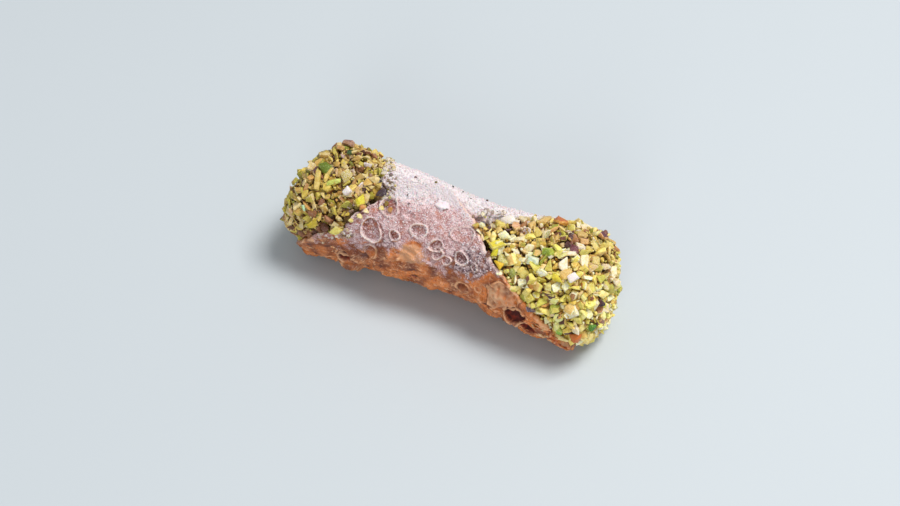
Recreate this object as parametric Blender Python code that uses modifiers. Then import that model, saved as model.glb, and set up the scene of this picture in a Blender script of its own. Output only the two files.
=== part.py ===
"""A Sicilian cannoli: a square of fried dough rolled corner over corner, filled with cream that swells
out of both mouths, and chopped nuts pressed over the cream at each end. Units are metres, +Z up.

The roll lies along X. A place on it is (along, turn): along is the distance on X from the middle, and turn
is the angle round the roll in degrees, 0 at the top, 90 at the front (-Y), 180 underneath, 270 at the back.
The dough starts at its outer corner on top, goes down the front, round underneath and up the back, and
its inner corner ends on top again, under the outer one."""

import math

import bmesh
import bpy
from mathutils import Matrix, Vector, noise

MM = 0.001

# The whole
LENGTH = 140 * MM
WAIST_RADIUS = 20.6 * MM  # outside of the pastry, where it is narrowest
WAIST_ALONG = 10 * MM
WIDENING = 1.7 * MM  # how much the roll's radius grows on both sides of its waist
WIDENING_REACH = 32 * MM
CLEARANCE = 0.3 * MM  # between pieces that touch
FLAT_DEPTH = 0.6 * MM  # how far the roll is pressed flat where it rests

# The rolled dough
WALL = 2.0 * MM
SEAM_GAP = 0.4 * MM
ROLL_START = -17  # degrees
ROLL_END = 383
ROLL_STEP = 10
SHELL_COLUMNS = 22
LIP = 1.0 * MM  # how far the edge of a mouth curls out beyond that
LIP_REACH = 7 * MM
TUCK_START, TUCK_END = 235, 343  # the back draws in here, to pass under the outer corner
SEAM_TURN = 12  # up to here the inner layer's edges show at the mouths, and the outer layer's after it

# The two edges of the dough, as (turn, along in mm). Their first points are the outer corner, and the
# last are the inner corner.
RIGHT_EDGE = (
    (-17, -3), (3, 6), (13, 11.9), (27, 15.7), (48, 24.6), (62, 32), (76, 40.5), (96, 50), (125, 59),
    (160, 62), (210, 61), (265, 54), (310, 40), (337, 31), (350, 19), (358, 15.5), (373, 11.9), (383, 8),
)
LEFT_EDGE = (
    (-17, -12), (3, -21), (13, -25.6), (35, -30), (52, -36), (75, -40), (86, -49), (104, -57), (128, -62.5),
    (180, -64), (220, -60), (255, -51), (300, -40), (340, -35), (358, -32), (373, -25.6), (383, -16),
)

# Blisters that have burst and left a raised ring: (along in mm, turn, width in mm)
RINGS = (
    (-27.7, 59, 8.7), (-17.6, 56, 4.4), (-8.7, 42, 6.2), (0.1, 56, 5.2), (-26.2, 85, 5.6), (-21.4, 28, 7.0),
    (11.2, 55, 5.2), (4.6, 68, 5.0), (8.6, 31, 6.6), (13.6, 91, 5.0), (-12, 250, 7.4),
)
RING_THICKNESS = 1.3 * MM
RING_SEGMENTS, RING_SIDES = 12, 4

# Blisters that are still whole domes: (along in mm, turn, width in mm, height in mm)
DOMES = (
    (30.5, 83, 13, 1.4), (37, 106, 13, 2.0), (44, 126, 20, 2.4), (58, 124, 22, 2.2), (26, 128, 16, 1.8),
    (-38, 122, 15, 2.0), (-52, 122, 26, 2.4), (-12, 100, 12, 0.9), (-6, 262, 13, 1.2), (16, 95, 9, 1.0),
)
# Blisters torn open at the side: (along in mm, turn, width in mm, depth in mm)
TORN_HOLES = ((36.0, 105, 7.6, 2.9), (44.0, 128, 5.0, 2.3), (-37.5, 130, 6.6, 2.4))

# The ends
NUT_DEPTH = 3.4 * MM  # from the cream to the outside of the nuts, at the tip of an end
NUTS_PROUD = 0.7 * MM  # how far the nuts stand out beyond the pastry
NUT_ROUGHNESS = 1.3 * MM
NUT_SIZE = 4.2 * MM  # the distance from one lump to the next
END_DEPTH = 12.4 * MM  # length of the rounded end
END_FULLNESS = 2.2  # 2 is an ellipse, and more is squarer
END_LEAN = {1: 3.0 * MM, -1: 5.0 * MM}  # how far each end leans back from square
LEAN_TURN = {1: -27, -1: -45}  # the side towards which it leans back, in degrees
SWELL_REACH = 7 * MM  # how soon the cream and nuts swell to their full width outside a mouth
NUT_RINGS = 11  # rings of faces on the outside of the nuts
END_RINGS = 6  # rings of faces on each end of the cream, and on the hollow inside the nuts
MIDDLE_RINGS = 8  # rings of faces on the cream inside the pastry

ROUND_SEGMENTS = 360 // ROLL_STEP


def smooth_step(value):
    t = min(max(value, 0.0), 1.0)
    return t * t * (3 - 2 * t)


def curve_through(points, x):
    """The height at x of the smooth curve through the points (a Catmull-Rom spline)."""
    last = len(points) - 1
    i = 0
    while i < last - 1 and x > points[i + 1][0]:
        i += 1
    (x0, y0), (x1, y1) = points[i], points[i + 1]
    before = points[max(i - 1, 0)]
    after = points[min(i + 2, last)]
    slope0 = (y1 - before[1]) / (x1 - before[0])
    slope1 = (after[1] - y0) / (after[0] - x0)
    span = x1 - x0
    t = (x - x0) / span
    return (
        y0 * (1 + 2 * t) * (1 - t) ** 2
        + slope0 * span * t * (1 - t) ** 2
        + y1 * t * t * (3 - 2 * t)
        + slope1 * span * t * t * (t - 1)
    )


def dough_edge(side, turn):
    """Where the dough ends at this turn of the roll, on side 1 (right) or -1 (left)."""
    return curve_through(RIGHT_EDGE if side > 0 else LEFT_EDGE, turn) * MM


def mouth(side, turn):
    """Where the pastry ends at this angle round the roll: where two layers lie there, the longer one."""
    turn = (turn - ROLL_START) % 360 + ROLL_START
    reach = side * dough_edge(side, turn)
    if turn + 360 <= ROLL_END:
        reach = max(reach, side * dough_edge(side, turn + 360))
    return side * reach


def dome_height(along, turn):
    """How far the whole blisters raise the surface here."""
    raised = 0.0
    for centre, centre_turn, width, height in DOMES:
        across = math.radians(turn - centre_turn) * WAIST_RADIUS
        away = math.hypot(along - centre * MM, across) / (width * MM / 2)
        raised = max(raised, height * MM * smooth_step(1.35 * (1 - away)))
    return raised


def widening(along):
    """How much wider the roll is here than at its waist."""
    return WIDENING * smooth_step(abs(along - WAIST_ALONG) / WIDENING_REACH)


def dough_radius(along, turn):
    """The radius of the dough's outer surface, without blisters."""
    to_edge = min(dough_edge(1, turn) - along, along - dough_edge(-1, turn))
    # Only one layer of a mouth can curl out: where two lie together, both stay in.
    alone = smooth_step((turn - 22) / 20) * smooth_step((336 - turn) / 20)
    curled = LIP * alone * math.exp(-max(to_edge, 0) / LIP_REACH)
    return WAIST_RADIUS - drawn_in(turn) + widening(along) + curled


def on_roll(along, turn, radius, lowest=0.0):
    """The point at this place and distance from the roll's axis, pressed flat at its lowest height."""
    angle = math.radians(turn)
    height = rest_height() + radius * math.cos(angle)
    return Vector((along, -radius * math.sin(angle), max(height, lowest)))


def rest_height():
    """The height of the roll's axis. The roll is pressed flat underneath by FLAT_DEPTH."""
    return WAIST_RADIUS + WIDENING - FLAT_DEPTH


def make_object(name, bm, colour, roughness, collection):
    """Makes a finished bmesh into a piece with its own material."""
    mesh = bpy.data.meshes.new(name)
    bm.to_mesh(mesh)
    bm.free()
    mesh.set_sharp_from_angle(angle=math.radians(50))
    obj = bpy.data.objects.new(name, mesh)
    material = bpy.data.materials.new(name)
    material.use_nodes = True
    surface = material.node_tree.nodes["Principled BSDF"]
    surface.inputs["Base Color"].default_value = (*colour, 1)
    surface.inputs["Roughness"].default_value = roughness
    mesh.materials.append(material)
    collection.objects.link(obj)
    return obj


def make_shell(collection):
    """The dough as a thin square sheet, rolled up and then thickened inwards."""
    rows = (ROLL_END - ROLL_START) // ROLL_STEP
    bm = bmesh.new()
    bmesh.ops.create_grid(bm, x_segments=SHELL_COLUMNS, y_segments=rows, size=1)
    for vert in bm.verts:
        turn = ROLL_END - round((vert.co.y + 1) / 2 * rows) * ROLL_STEP
        left, right = dough_edge(-1, turn), dough_edge(1, turn)
        along = left + (right - left) * (vert.co.x + 1) / 2
        vert.co = on_roll(along, turn, dough_radius(along, turn) + dome_height(along, turn))
    shell = make_object("pastry_shell", bm, (0.47, 0.2, 0.07), 0.55, collection)
    thickness = shell.modifiers.new("thickness", "SOLIDIFY")
    thickness.thickness = WALL
    thickness.offset = -1
    return shell


def face_out(along, turn, radius):
    """The matrix that puts a shape on the roll, with its Z pointing straight out of the surface."""
    angle = math.radians(turn)
    middle = Vector((along, -radius * math.sin(angle), rest_height() + radius * math.cos(angle)))
    return Matrix.Translation(middle) @ Matrix.Rotation(angle, 4, "X")


def make_tool(name, bm, collection):
    """A helper for a Boolean, which isn't a piece of the object."""
    bmesh.ops.recalc_face_normals(bm, faces=bm.faces)
    mesh = bpy.data.meshes.new(name)
    bm.to_mesh(mesh)
    bm.free()
    tool = bpy.data.objects.new(name, mesh)
    tool.hide_render = True
    tool.display_type = "WIRE"
    collection.objects.link(tool)


def turned_ring(bm, width, thickness, segments, sides):
    """A ring lying in XY: a round section spun about Z."""
    section = bmesh.ops.create_circle(bm, segments=sides, radius=thickness / 2)["verts"]
    bmesh.ops.rotate(bm, verts=section, cent=(0, 0, 0), matrix=Matrix.Rotation(math.pi / 2, 3, "X"))
    bmesh.ops.translate(bm, verts=section, vec=((width - thickness) / 2, 0, 0))
    bmesh.ops.spin(
        bm, geom=section + list(bm.edges), cent=(0, 0, 0), axis=(0, 0, 1),
        angle=2 * math.pi, steps=segments, use_merge=True,
    )
    bmesh.ops.remove_doubles(bm, verts=bm.verts, dist=1e-6)


def make_ring(number, along, turn, width, collection):
    bm = bmesh.new()
    turned_ring(bm, width, RING_THICKNESS, RING_SEGMENTS, RING_SIDES)
    radius = dough_radius(along, turn) + dome_height(along, turn) - 0.1 * MM
    bmesh.ops.triangulate(bm, faces=bm.faces)
    bmesh.ops.transform(bm, verts=bm.verts, matrix=face_out(along, turn, radius))
    make_tool(f"ring_{number}", bm, collection)


def make_hole_cutter(number, along, turn, width, depth, collection):
    bm = bmesh.new()
    size = Matrix.Diagonal((width / 2, width * 0.42, depth, 1))
    radius = dough_radius(along, turn) + dome_height(along, turn) + 0.6 * MM
    place = face_out(along, turn, radius) @ Matrix.Rotation(0.3, 4, "Z") @ size
    bmesh.ops.create_icosphere(bm, subdivisions=2, radius=1, matrix=place)
    make_tool(f"hole_{number}", bm, collection)


def add_blisters(shell, rings, holes):
    """Joins the rings of burst blisters to the shell, then opens the torn ones."""
    for number, (along, turn, width) in enumerate(RINGS):
        make_ring(number, along * MM, turn, width * MM, rings)
    for number, (along, turn, width, depth) in enumerate(TORN_HOLES):
        make_hole_cutter(number, along * MM, turn, width * MM, depth * MM, holes)
    for name, tools, operation in (("rings", rings, "UNION"), ("holes", holes, "DIFFERENCE")):
        boolean = shell.modifiers.new(name, "BOOLEAN")
        boolean.operation = operation
        boolean.operand_type = "COLLECTION"
        boolean.collection = tools
        boolean.solver = "EXACT"


def layer_at(turn, changeover):
    """The layer that is outermost or innermost at this angle round the roll, as its turn."""
    turn = (turn - ROLL_START) % 360 + ROLL_START
    return turn + 360 if turn < changeover else turn


def drawn_in(turn):
    """How far the dough has drawn in at this turn, to pass under its outer corner."""
    return (WALL + SEAM_GAP) * smooth_step((turn - TUCK_START) / (TUCK_END - TUCK_START))


def hollow_radius(turn):
    """The radius of the space inside the roll at its waist, rounded off past the inner corner."""
    layer = layer_at(turn, TUCK_START)
    past_corner = smooth_step((layer - ROLL_END - 2) / 30)
    return WAIST_RADIUS - WALL - drawn_in(layer) * (1 - past_corner)


def swell(side, turn, along):
    """How much of its full width the cream has here: 0 inside the pastry, and 1 well outside it."""
    outside = side * (along - mouth(side, turn))
    return smooth_step((outside - 1 * MM) / SWELL_REACH)


def cream_radius(side, turn, along):
    """The cream fills the roll, and swells to a round section outside its mouths."""
    inside = hollow_radius(turn) + widening(along) - CLEARANCE
    full = WAIST_RADIUS - WALL + widening(along)
    return inside + (full - inside) * swell(side, turn, along)


def nut_radius(side, turn, along):
    """The nuts stand out from the edge of the pastry, and swell with the cream."""
    at_edge = WAIST_RADIUS - drawn_in(layer_at(turn, SEAM_TURN))
    swollen = at_edge + (WAIST_RADIUS - at_edge) * swell(side, turn, along)
    return swollen + widening(along) + NUTS_PROUD


def end_outline(side, turn, share, tip, radius_at):
    """A place on an end, as (along, radius): share 0 is its tip, and 1 is at the pastry's edge."""
    slope = (mouth(side, turn + 2) - mouth(side, turn - 2)) / (WAIST_RADIUS * math.radians(4))
    rim = side * mouth(side, turn) + (CLEARANCE + 0.1 * MM) * math.hypot(1, slope)
    along = tip - (tip - rim) * share**2
    rounded = min(max(1 - (tip - along) / END_DEPTH, 0.0), 1.0)
    radius = radius_at(side, turn, side * along) * math.sqrt(1 - rounded**END_FULLNESS)
    off_square = radius / WAIST_RADIUS * math.cos(math.radians(turn - LEAN_TURN[side]))
    along -= END_LEAN[side] * off_square * (1 - share**4)
    return side * along, radius


def cream_end(side, turn, share):
    return end_outline(side, turn, share, LENGTH / 2 - NUT_DEPTH, cream_radius)


def nut_outside(side, turn, share):
    return end_outline(side, turn, share, LENGTH / 2, nut_radius)


def nut_inside(side, turn, share):
    """The hollow in the nuts: the cream's outline, moved straight out from it."""
    along, radius = cream_end(side, turn, share)
    before = cream_end(side, turn, max(share - 0.02, 0))
    after = cream_end(side, turn, min(share + 0.02, 1))
    run, rise = after[0] - before[0], after[1] - before[1]
    gap = (CLEARANCE + 0.1 * MM) / math.hypot(run, rise)
    return along + side * rise * gap, radius - side * run * gap


def ring_number(vert, rings):
    """Which ring of a sphere a vertex is on, from 0 at the top."""
    return round(math.acos(max(-1.0, min(1.0, vert.co.z))) / math.pi * rings)


def turn_of(vert):
    """The turn of a sphere's vertex, at the same angles as the rows of the dough."""
    angle = math.degrees(math.atan2(vert.co.y, vert.co.x))
    return ROLL_START + ROLL_STEP * round(angle / ROLL_STEP)


def make_filling(collection):
    """The cream: a sphere's rings spread from one end of the roll to the other."""
    rings = 2 * END_RINGS + MIDDLE_RINGS
    bm = bmesh.new()
    bmesh.ops.create_uvsphere(bm, u_segments=ROUND_SEGMENTS, v_segments=rings, radius=1)
    for vert in bm.verts:
        ring = ring_number(vert, rings)
        turn = turn_of(vert)
        if ring <= END_RINGS:
            along, radius = cream_end(1, turn, ring / END_RINGS)
        elif ring >= rings - END_RINGS:
            along, radius = cream_end(-1, turn, (rings - ring) / END_RINGS)
        else:
            right, left = cream_end(1, turn, 1)[0], cream_end(-1, turn, 1)[0]
            along = right + (left - right) * (ring - END_RINGS) / MIDDLE_RINGS
            radius = cream_radius(1 if along > 0 else -1, turn, along)
        vert.co = on_roll(along, turn, radius, WALL + CLEARANCE)
    bmesh.ops.triangulate(bm, faces=bm.faces)
    make_object("cream_filling", bm, (0.86, 0.78, 0.62), 0.5, collection)


def make_coat(side, name, collection):
    """The nuts as one lumpy cap: a sphere's upper rings are its outside, and the rest line the hollow."""
    rings = NUT_RINGS + END_RINGS
    bm = bmesh.new()
    bmesh.ops.create_uvsphere(bm, u_segments=ROUND_SEGMENTS, v_segments=rings, radius=1)
    for vert in bm.verts:
        ring = ring_number(vert, rings)
        turn = turn_of(vert)
        if ring > NUT_RINGS:
            along, radius = nut_inside(side, turn, (rings - ring) / END_RINGS)
        else:
            along, radius = nut_outside(side, turn, ring / NUT_RINGS)
            if 0 < ring < NUT_RINGS:
                lump = noise.noise(on_roll(along, turn, radius) / NUT_SIZE)
                radius += NUT_ROUGHNESS * lump
        vert.co = on_roll(along, turn, radius)
    if side < 0:
        bmesh.ops.reverse_faces(bm, faces=bm.faces)
    bmesh.ops.triangulate(bm, faces=bm.faces)
    make_object(name, bm, (0.55, 0.5, 0.14), 0.7, collection)


def centre_on_base(pieces, tools):
    """Moves everything together, so that the middle of the cannoli's underside is at the origin."""
    bpy.context.view_layer.update()
    graph = bpy.context.evaluated_depsgraph_get()
    corners = [Vector(corner) for obj in pieces for corner in obj.evaluated_get(graph).bound_box]
    low = Vector(min(c[i] for c in corners) for i in range(3))
    high = Vector(max(c[i] for c in corners) for i in range(3))
    middle = (low + high) / 2
    for obj in pieces + tools:
        obj.location = (-middle.x, -middle.y, -low.z)


def main():
    for obj in list(bpy.data.objects):
        bpy.data.objects.remove(obj, do_unlink=True)
    scene = bpy.context.scene
    collections = []
    for name in ("cannoli", "ring_tools", "hole_cutters"):
        collection = bpy.data.collections.new(name)
        scene.collection.children.link(collection)
        collections.append(collection)
    pieces, rings, holes = collections
    shell = make_shell(pieces)
    add_blisters(shell, rings, holes)
    make_filling(pieces)
    make_coat(-1, "nut_coat_left", pieces)
    make_coat(1, "nut_coat_right", pieces)
    centre_on_base(list(pieces.objects), list(rings.objects) + list(holes.objects))


main()
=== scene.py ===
"""Finishes and fine shapes of a Sicilian cannoli: blistered fried dough, chopped pistachios and sugar."""

import math
import random

import bmesh
import bpy
import numpy as np
from bpy.props import FloatProperty, FloatVectorProperty, IntProperty, PointerProperty
from mathutils import Matrix, Quaternion, Vector, noise


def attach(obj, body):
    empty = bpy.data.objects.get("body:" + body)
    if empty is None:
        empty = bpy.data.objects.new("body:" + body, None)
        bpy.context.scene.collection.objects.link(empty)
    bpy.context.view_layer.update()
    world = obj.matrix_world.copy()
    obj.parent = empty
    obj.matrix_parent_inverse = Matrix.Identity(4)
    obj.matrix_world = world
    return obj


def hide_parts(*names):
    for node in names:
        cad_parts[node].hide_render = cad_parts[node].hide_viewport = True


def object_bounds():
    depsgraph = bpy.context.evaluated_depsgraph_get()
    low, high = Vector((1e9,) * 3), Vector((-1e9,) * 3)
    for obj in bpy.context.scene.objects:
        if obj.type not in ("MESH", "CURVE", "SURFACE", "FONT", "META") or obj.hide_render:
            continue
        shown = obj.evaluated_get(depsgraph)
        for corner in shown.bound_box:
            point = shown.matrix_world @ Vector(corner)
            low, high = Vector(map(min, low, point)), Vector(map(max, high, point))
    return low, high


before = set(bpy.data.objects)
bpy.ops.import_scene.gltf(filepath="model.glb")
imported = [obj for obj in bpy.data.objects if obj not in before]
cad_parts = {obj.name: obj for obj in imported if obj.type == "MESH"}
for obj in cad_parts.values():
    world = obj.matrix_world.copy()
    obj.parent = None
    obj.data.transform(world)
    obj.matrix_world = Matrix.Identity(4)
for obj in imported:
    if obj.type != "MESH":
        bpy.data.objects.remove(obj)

bl_info = {
    "name": "Cannoli",
    "version": (1, 0, 0),
    "blender": (4, 5, 0),
    "location": "View3D > Sidebar > Cannoli",
    "description": "Makes a filled cannoli with chopped nuts on both ends",
    "category": "Add Mesh",
}

MM = 0.001
CAD_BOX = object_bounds()

# The roll. A place on it is (along, turn): along is the distance on X from its middle, and turn the angle
# round it in degrees, 0 on top, 90 at the front (-Y), 180 underneath. One step right is +X.
AXIS = Vector((0.4, 0.4, 21.7)) * MM
HALF_LENGTH = 70 * MM
WAIST_RADIUS = 20.6 * MM
WAIST_ALONG = 10 * MM
WIDENING = 1.7 * MM
WIDENING_REACH = 32 * MM
WALL = 2.0 * MM
SEAM_GAP = 0.4 * MM
ROLL_START, ROLL_END = -17, 383
LIP = 1.0 * MM
LIP_REACH = 7 * MM
TUCK_START, TUCK_END = 235, 343
SEAM_TURN = 12

# The two edges of the dough, as (turn, along in mm), from its outer corner to its inner corner.
RIGHT_EDGE = (
    (-17, -3), (3, 6), (13, 11.9), (27, 15.7), (48, 24.6), (62, 32), (76, 40.5), (96, 50), (125, 59),
    (160, 62), (210, 61), (265, 54), (310, 40), (337, 31), (350, 19), (358, 15.5), (373, 11.9), (383, 8),
)
LEFT_EDGE = (
    (-17, -12), (3, -21), (13, -25.6), (35, -30), (52, -36), (75, -40), (86, -49), (104, -57), (128, -62.5),
    (180, -64), (220, -60), (255, -51), (300, -40), (340, -35), (358, -32), (373, -25.6), (383, -16),
)

# Burst blisters, as (along in mm, turn, width in mm, depth in mm, length over width)
RINGS = (
    (-27.0, 59, 8.6, 0.9, 1.0), (-17.2, 56, 4.0, 1.5, 1.0), (-8.2, 43, 5.8, 0.6, 1.1),
    (0.3, 52, 5.0, 1.2, 1.1), (1.6, 60, 4.4, 0.6, 1.0), (-26.0, 83, 5.6, 0.8, 1.0),
    (-22.8, 30, 7.0, 1.1, 1.1), (11.4, 56, 5.2, 0.8, 1.0), (5.6, 64, 3.8, 0.5, 1.0),
    (9.2, 31, 7.0, 0.1, 1.3), (14.0, 91.5, 4.4, 1.5, 1.6), (20.6, 85, 3.0, 0.8, 1.0),
    (17.7, 60, 2.8, 0.5, 1.0), (-19.0, 87, 2.0, 0.6, 1.0),
    (-12, 250, 7.4, 0.8, 1.1), (14, 228, 5.0, 0.9, 1.0), (-34, 264, 6.2, 0.9, 1.2), (22, 292, 5.4, 0.8, 1.0),
)

# Torn holes, as (along in mm, turn, width in mm, depth in mm, length over width)
HOLES = (
    (37.2, 96.5, 6.8, 1.7, 1.25), (43.2, 111, 3.8, 1.5, 1.9), (-37.0, 107.5, 3.2, 1.7, 2.6), (-47, 122, 2.0, 1.0, 2.0),
)

# How far down its front the dough is sugared, as (along in mm, turn)
SUGARED_TO = (
    (-70, 82), (-45, 90), (-33, 93), (-26, 86), (-17, 71), (-8, 65), (-2, 69), (3, 76), (11, 80), (18, 80),
    (25, 69), (33, 62), (70, 60),
)

# Bits of nut that stand out from the rest, on the right end and on the left one:
# (turn, share of the way from the tip to the pastry, length in mm, width and thickness over length,
# colour of the skin, colour of the flesh, dusting of sugar)
MARKED_RIGHT = (
    (28, 0.92, 6.6, 0.8, 0.3, (246, 232, 84), (240, 226, 120), 0.0),
    (37, 0.95, 5.2, 0.6, 0.3, (240, 228, 40), (236, 220, 90), 0.0),
    (47, 0.97, 4.4, 0.8, 0.5, (240, 200, 40), (230, 190, 60), 0.0),
    (41, 0.995, 3.0, 0.7, 0.5, (110, 64, 50), (150, 100, 60), 0.1),
    (-24, 0.83, 5.6, 0.8, 0.5, (196, 112, 60), (226, 170, 90), 0.1),
    (-9, 0.60, 6.2, 0.45, 0.5, (78, 36, 44), (214, 170, 96), 0.1),
    (6, 0.52, 4.8, 0.9, 0.6, (112, 44, 62), (120, 66, 70), 0.35),
    (-30, 0.49, 6.0, 0.7, 0.5, (104, 50, 72), (210, 160, 110), 0.15),
    (57, 0.19, 5.0, 0.7, 0.6, (58, 26, 36), (80, 40, 50), 0.0),
    (92, 0.42, 4.2, 0.8, 0.5, (50, 128, 30), (90, 150, 40), 0.0),
    (63, 0.87, 4.6, 0.8, 0.6, (160, 104, 120), (236, 220, 130), 0.1),
    (80, 0.975, 4.2, 0.6, 0.5, (96, 70, 92), (150, 120, 130), 0.4),
    (32, 0.75, 5.0, 0.7, 0.5, (216, 236, 206), (226, 238, 210), 0.5),
    (34, 0.48, 4.6, 0.8, 0.6, (226, 206, 206), (240, 226, 216), 0.8),
    (18, 0.66, 5.0, 0.7, 0.5, (150, 176, 60), (180, 196, 80), 0.0),
    (40, 0.60, 5.2, 0.6, 0.5, (232, 214, 60), (220, 208, 80), 0.0),
    (3, 0.86, 5.4, 0.7, 0.5, (234, 184, 150), (240, 204, 160), 0.1),
    (4, 0.98, 3.2, 0.8, 0.6, (112, 100, 112), (140, 124, 132), 0.55),
    (12, 0.975, 2.4, 0.8, 0.6, (84, 72, 88), (130, 114, 120), 0.45),
    (102, 0.73, 6.6, 0.8, 0.62, (214, 112, 46), (222, 128, 58), 0.0),
    (108, 0.93, 7.0, 0.4, 0.35, (248, 232, 160), (246, 228, 160), 0.0),
    (98, 0.88, 4.2, 0.7, 0.5, (140, 190, 70), (200, 214, 110), 0.0),
    (103, 0.30, 4.4, 0.7, 0.5, (150, 104, 96), (190, 150, 120), 0.1),
)
MARKED_LEFT = (
    (15, 0.55, 6.2, 0.75, 0.3, (104, 128, 24), (120, 140, 40), 0.0),
    (-14, 0.68, 4.2, 0.7, 0.5, (44, 78, 24), (70, 96, 30), 0.0),
    (-32, 0.59, 5.0, 0.8, 0.6, (150, 108, 104), (180, 140, 120), 0.25),
    (-16, 0.56, 4.6, 0.6, 0.5, (196, 150, 96), (210, 170, 110), 0.1),
    (20, 0.985, 4.8, 0.75, 0.6, (70, 52, 70), (84, 66, 84), 0.15),
    (30, 0.82, 3.8, 0.85, 0.6, (246, 220, 226), (246, 226, 230), 0.9),
    (62, 0.67, 4.0, 0.45, 0.5, (190, 236, 200), (214, 240, 220), 0.2),
    (72, 0.96, 7.0, 0.55, 0.25, (240, 226, 130), (236, 222, 140), 0.0),
    (34, 0.93, 5.0, 0.8, 0.5, (224, 214, 50), (226, 206, 90), 0.0),
    (30, 0.58, 8.6, 0.35, 0.25, (226, 200, 120), (206, 184, 96), 0.0),
    (26, 0.70, 6.0, 0.4, 0.3, (204, 216, 110), (196, 206, 100), 0.0),
    (74, 0.80, 6.0, 0.6, 0.3, (220, 196, 50), (206, 180, 60), 0.0),
    (38, 0.96, 4.2, 0.7, 0.5, (206, 140, 80), (220, 170, 110), 0.1),
    (8, 0.92, 4.6, 0.8, 0.5, (240, 216, 160), (240, 220, 170), 0.2),
    (-8, 0.99, 4.4, 0.9, 0.5, (186, 180, 60), (204, 200, 100), 0.2),
    (-2, 0.42, 4.6, 0.7, 0.5, (120, 110, 40), (150, 130, 60), 0.0),
    (84, 0.99, 4.0, 0.8, 0.5, (176, 140, 130), (206, 176, 150), 0.5),
)

# Small crumbs on the sugar, as (along in mm, turn, size in mm, colour)
CRUMBS = (
    (-13, -32, 1.5, (120, 108, 40)), (-7, -44, 1.0, (60, 44, 50)), (-21, -24, 1.3, (110, 84, 96)),
    (-2, -41, 0.8, (70, 56, 60)), (8, -48, 1.4, (96, 70, 66)), (-15, 6, 0.9, (76, 62, 66)),
    (-18, 12, 1.0, (66, 52, 56)), (-12, 10, 0.7, (90, 70, 70)), (3, -30, 0.7, (110, 80, 74)),
    (-24.5, 28, 2.6, (150, 122, 52)), (-22, 33, 2.4, (204, 150, 92)), (-25.5, 34, 2.4, (232, 214, 150)),
    (-33, 49, 3.2, (242, 228, 176)), (-31, 42, 2.6, (240, 222, 186)), (-36, 56, 2.4, (236, 222, 150)),
    (-20, 3, 0.8, (80, 60, 62)), (-16, 20, 0.7, (70, 56, 62)), (16, -20, 0.9, (84, 70, 84)),
)

# Dusted crumbs along the mouths, as (side, from turn, to turn, colours, how many)
STRAY_CRUMBS = (
    (1, -75, 10, ((168, 150, 154), (186, 168, 168), (232, 218, 206), (150, 124, 110), (210, 198, 140)), 70),
    (-1, -75, 24, ((200, 186, 120), (150, 130, 120), (232, 216, 190), (120, 100, 90), (170, 160, 90)), 80),
    (-1, 66, 112, ((150, 104, 84), (186, 150, 136), (120, 78, 58), (222, 200, 180), (160, 130, 60)), 80),
)

# Whole blisters, as (along in mm, turn, width in mm, height in mm)
DOMES = (
    (30.5, 83, 13, 1.4), (37, 106, 13, 2.0), (44, 126, 20, 2.4), (58, 124, 22, 2.2), (26, 128, 16, 1.8),
    (-38, 122, 15, 2.0), (-52, 122, 26, 2.4), (-12, 100, 12, 0.9), (-6, 262, 13, 1.2), (16, 95, 9, 1.0),
)

# The ends
NUT_DEPTH = 3.4 * MM
NUTS_PROUD = 0.7 * MM
END_DEPTH = 12.4 * MM
END_FULLNESS = 2.2
END_LEAN = {1: 3.0 * MM, -1: 5.0 * MM}
LEAN_TURN = {1: -27, -1: -45}
SWELL_REACH = 7 * MM


def srgb(red, green, blue):
    """A colour given as it looks on a screen, 0 to 255, as the linear values that shaders use."""
    shares = [value / 255 for value in (red, green, blue)]
    return tuple(s / 12.92 if s <= 0.04045 else ((s + 0.055) / 1.055) ** 2.4 for s in shares)


# ---------------------------------------------------------------------------------------------------
# Settings


class DoughSettings(bpy.types.PropertyGroup):
    columns: IntProperty(
        name="Columns", description="Faces from one mouth of the roll to the other", default=290, min=40
    )
    rows: IntProperty(name="Rows", description="Faces round the roll", default=290, min=60)
    deep: FloatVectorProperty(
        name="Dark", description="Colour of the dough where it fried darkest",
        subtype="COLOR", size=3, min=0, max=1, default=srgb(128, 60, 24),
    )
    golden: FloatVectorProperty(
        name="Golden", description="Colour of most of the dough",
        subtype="COLOR", size=3, min=0, max=1, default=srgb(224, 127, 53),
    )
    # The colour of the painted highlights: streaks along the dough, crests, rims, ridges and edges.
    pale_highlight: FloatVectorProperty(
        name="Pale", description="Colour of thin blister skins and edges",
        subtype="COLOR", size=3, min=0, max=1, default=srgb(244, 186, 138),
    )


class NutSettings(bpy.types.PropertyGroup):
    right_spacing: FloatProperty(
        name="Right spacing", description="Distance between chopped nuts on the right end",
        subtype="DISTANCE", unit="LENGTH", default=3.05 * MM, min=1 * MM,
    )
    left_spacing: FloatProperty(
        name="Left spacing", description="Distance between chopped nuts on the left end",
        subtype="DISTANCE", unit="LENGTH", default=2.75 * MM, min=1 * MM,
    )
    seed: IntProperty(name="Seed", description="Changes how the nuts fell", default=4)


class SugarSettings(bpy.types.PropertyGroup):
    grains: IntProperty(name="Grains", description="Number of small lumps of sugar", default=15000, min=0)
    colour: FloatVectorProperty(
        name="Sugar", description="Colour of the fine sugar",
        subtype="COLOR", size=3, min=0, max=1, default=srgb(240, 232, 233),
    )


class StageSettings(bpy.types.PropertyGroup):
    floor: FloatVectorProperty(
        name="Floor", description="Colour of the floor",
        subtype="COLOR", size=3, min=0, max=1, default=srgb(194, 202, 207),
    )
    distance: FloatProperty(
        name="Camera distance", description="From the camera to the middle of the roll",
        subtype="DISTANCE", unit="LENGTH", default=0.7, min=0.1,
    )


# ---------------------------------------------------------------------------------------------------
# The form of the roll, for numpy arrays of places


def smooth_step(value):
    t = np.clip(value, 0.0, 1.0)
    return t * t * (3 - 2 * t)


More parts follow.
